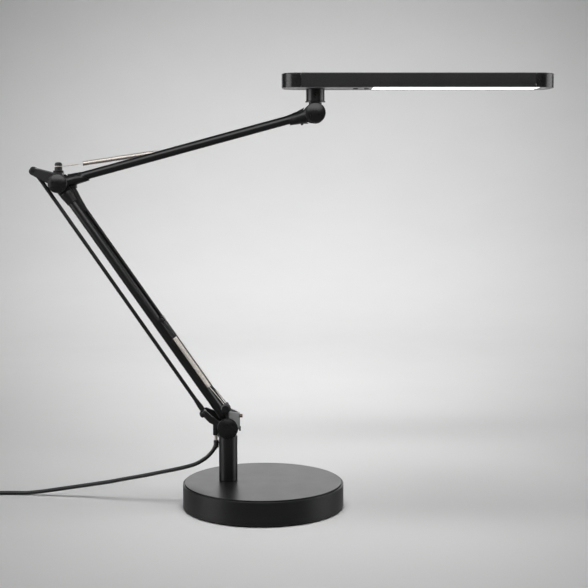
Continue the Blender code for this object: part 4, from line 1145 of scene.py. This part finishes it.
# ---- parts that stay as they are
INSIDE = {"base_weight": "iron", "pole_bolt": "zinc", "swivel_bush": "brass", "lower_pivot_bolt": "zinc",
          "elbow_pivot_bolt": "zinc", "head_pivot_bolt": "zinc", "light_board": "board", "driver": "board"}
for node, look in INSIDE.items():
    mesh = frame["nodes"][node].data
    mesh.materials.clear()
    mesh.materials.append(M[look])


# ---- stage and lights
def make_stage():
    """Pale seamless floor that curves up into a wall all round."""
    floor_radius = 1.5
    curve = 2.3
    top = 3.6
    profile = [(0.0, 0.0), (0.3, 0.0), (0.8, 0.0), (1.2, 0.0), (floor_radius, 0.0)]
    steps = 32
    for i in range(1, steps + 1):
        a = pi / 2 * i / steps
        profile.append((floor_radius + curve * sin(a), curve * (1 - cos(a))))
    profile.append((floor_radius + curve, top))
    backdrop = lathe("studio_floor", profile, "paper", (0, 0, -FLOOR_GAP), UP, 96, 0)
    if backdrop.data.polygons[0].normal.z < 0:
        backdrop.data.flip_normals()
    backdrop.visible_glossy = False


def new_light(name, kind, place, target):
    """Light at a place, pointing at a target, kept out of the camera's sight."""
    light = bpy.data.objects.new(name, bpy.data.lights.new(name, kind))
    light.location = place
    light.rotation_mode = "QUATERNION"
    light.rotation_quaternion = (Vector(target) - Vector(place)).to_track_quat("-Z", "Y")
    light.visible_camera = False
    bpy.context.collection.objects.link(light)
    return light


def soft_box(name, place, target, size, brightness):
    """Rectangular soft box that only shows in glossy surfaces."""
    light = new_light(name, "AREA", place, target)
    light.data.shape = "RECTANGLE"
    light.data.size, light.data.size_y = size
    light.data.energy = brightness * pi * size[0] * size[1]
    light.visible_diffuse = False


def soft_spot(name, place, target, angle, power, radius):
    """Spot with a cone that fades all the way out, and that glossy surfaces don't show."""
    light = new_light(name, "SPOT", place, target)
    light.data.energy = power
    light.data.spot_size = radians(angle)
    light.data.spot_blend = 1.0
    light.data.shadow_soft_size = radius
    light.visible_glossy = False


def make_lights():
    """Plain soft studio light: fading pools of light on floor and wall, and boxes that give the gloss."""
    world = bpy.data.worlds.new("studio")
    world.use_nodes = True
    background = world.node_tree.nodes["Background"]
    background.inputs["Color"].default_value = (1.0, 1.0, 1.0, 1.0)
    background.inputs["Strength"].default_value = 0.1
    bpy.context.scene.world = world
    soft_spot("pool_near", (0.05, -0.3, 1.5), (0.05, -0.2, 0.0), 44, 85, 0.6)
    soft_spot("pool_core", (0.05, -0.1, 1.5), (0.05, 0.15, 0.0), 50, 62, 0.6)
    soft_spot("pool_middle", (0.05, 0.5, 1.5), (0.05, 0.8, 0.0), 50, 58, 0.6)
    soft_spot("pool_far", (0.05, 1.0, 2.4), (0.05, 1.5, 0.0), 60, 69, 0.4)
    soft_spot("pool_wall", (0.05, 1.0, 2.0), (0.05, 3.5, 0.7), 62, 19, 0.3)
    soft_spot("pool_front", (0.05, -1.0, 2.6), (0.05, 2.4, 0.3), 50, 767, 0.9)
    soft_spot("pool_behind", (0.0, -1.4, 2.2), (0.0, -3.6, 0.8), 80, 95, 0.3)
    soft_box("gloss_left", (-1.58, -0.42, 0.6), (-0.05, 0.0, 0.25), (1.05, 1.7), 3.0)
    soft_box("gloss_right", (1.7, 0.0, 0.6), (0.0, 0.0, 0.25), (1.2, 1.7), 2.9)
    soft_box("gloss_front", (-0.15, -1.15, 1.35), (0.0, 0.0, 0.42), (2.2, 1.0), 3.0)
    soft_box("gloss_back", (0.1, 2.9, 0.75), (0.0, 0.0, 0.3), (4.4, 1.5), 1.45)
    soft_box("gloss_floor", (0.0, 0.0, -0.004), (0.0, 0.0, 1.0), (5.0, 5.0), 0.12)


make_stage()
make_lights()
bpy.context.scene.view_settings.view_transform = "Standard"
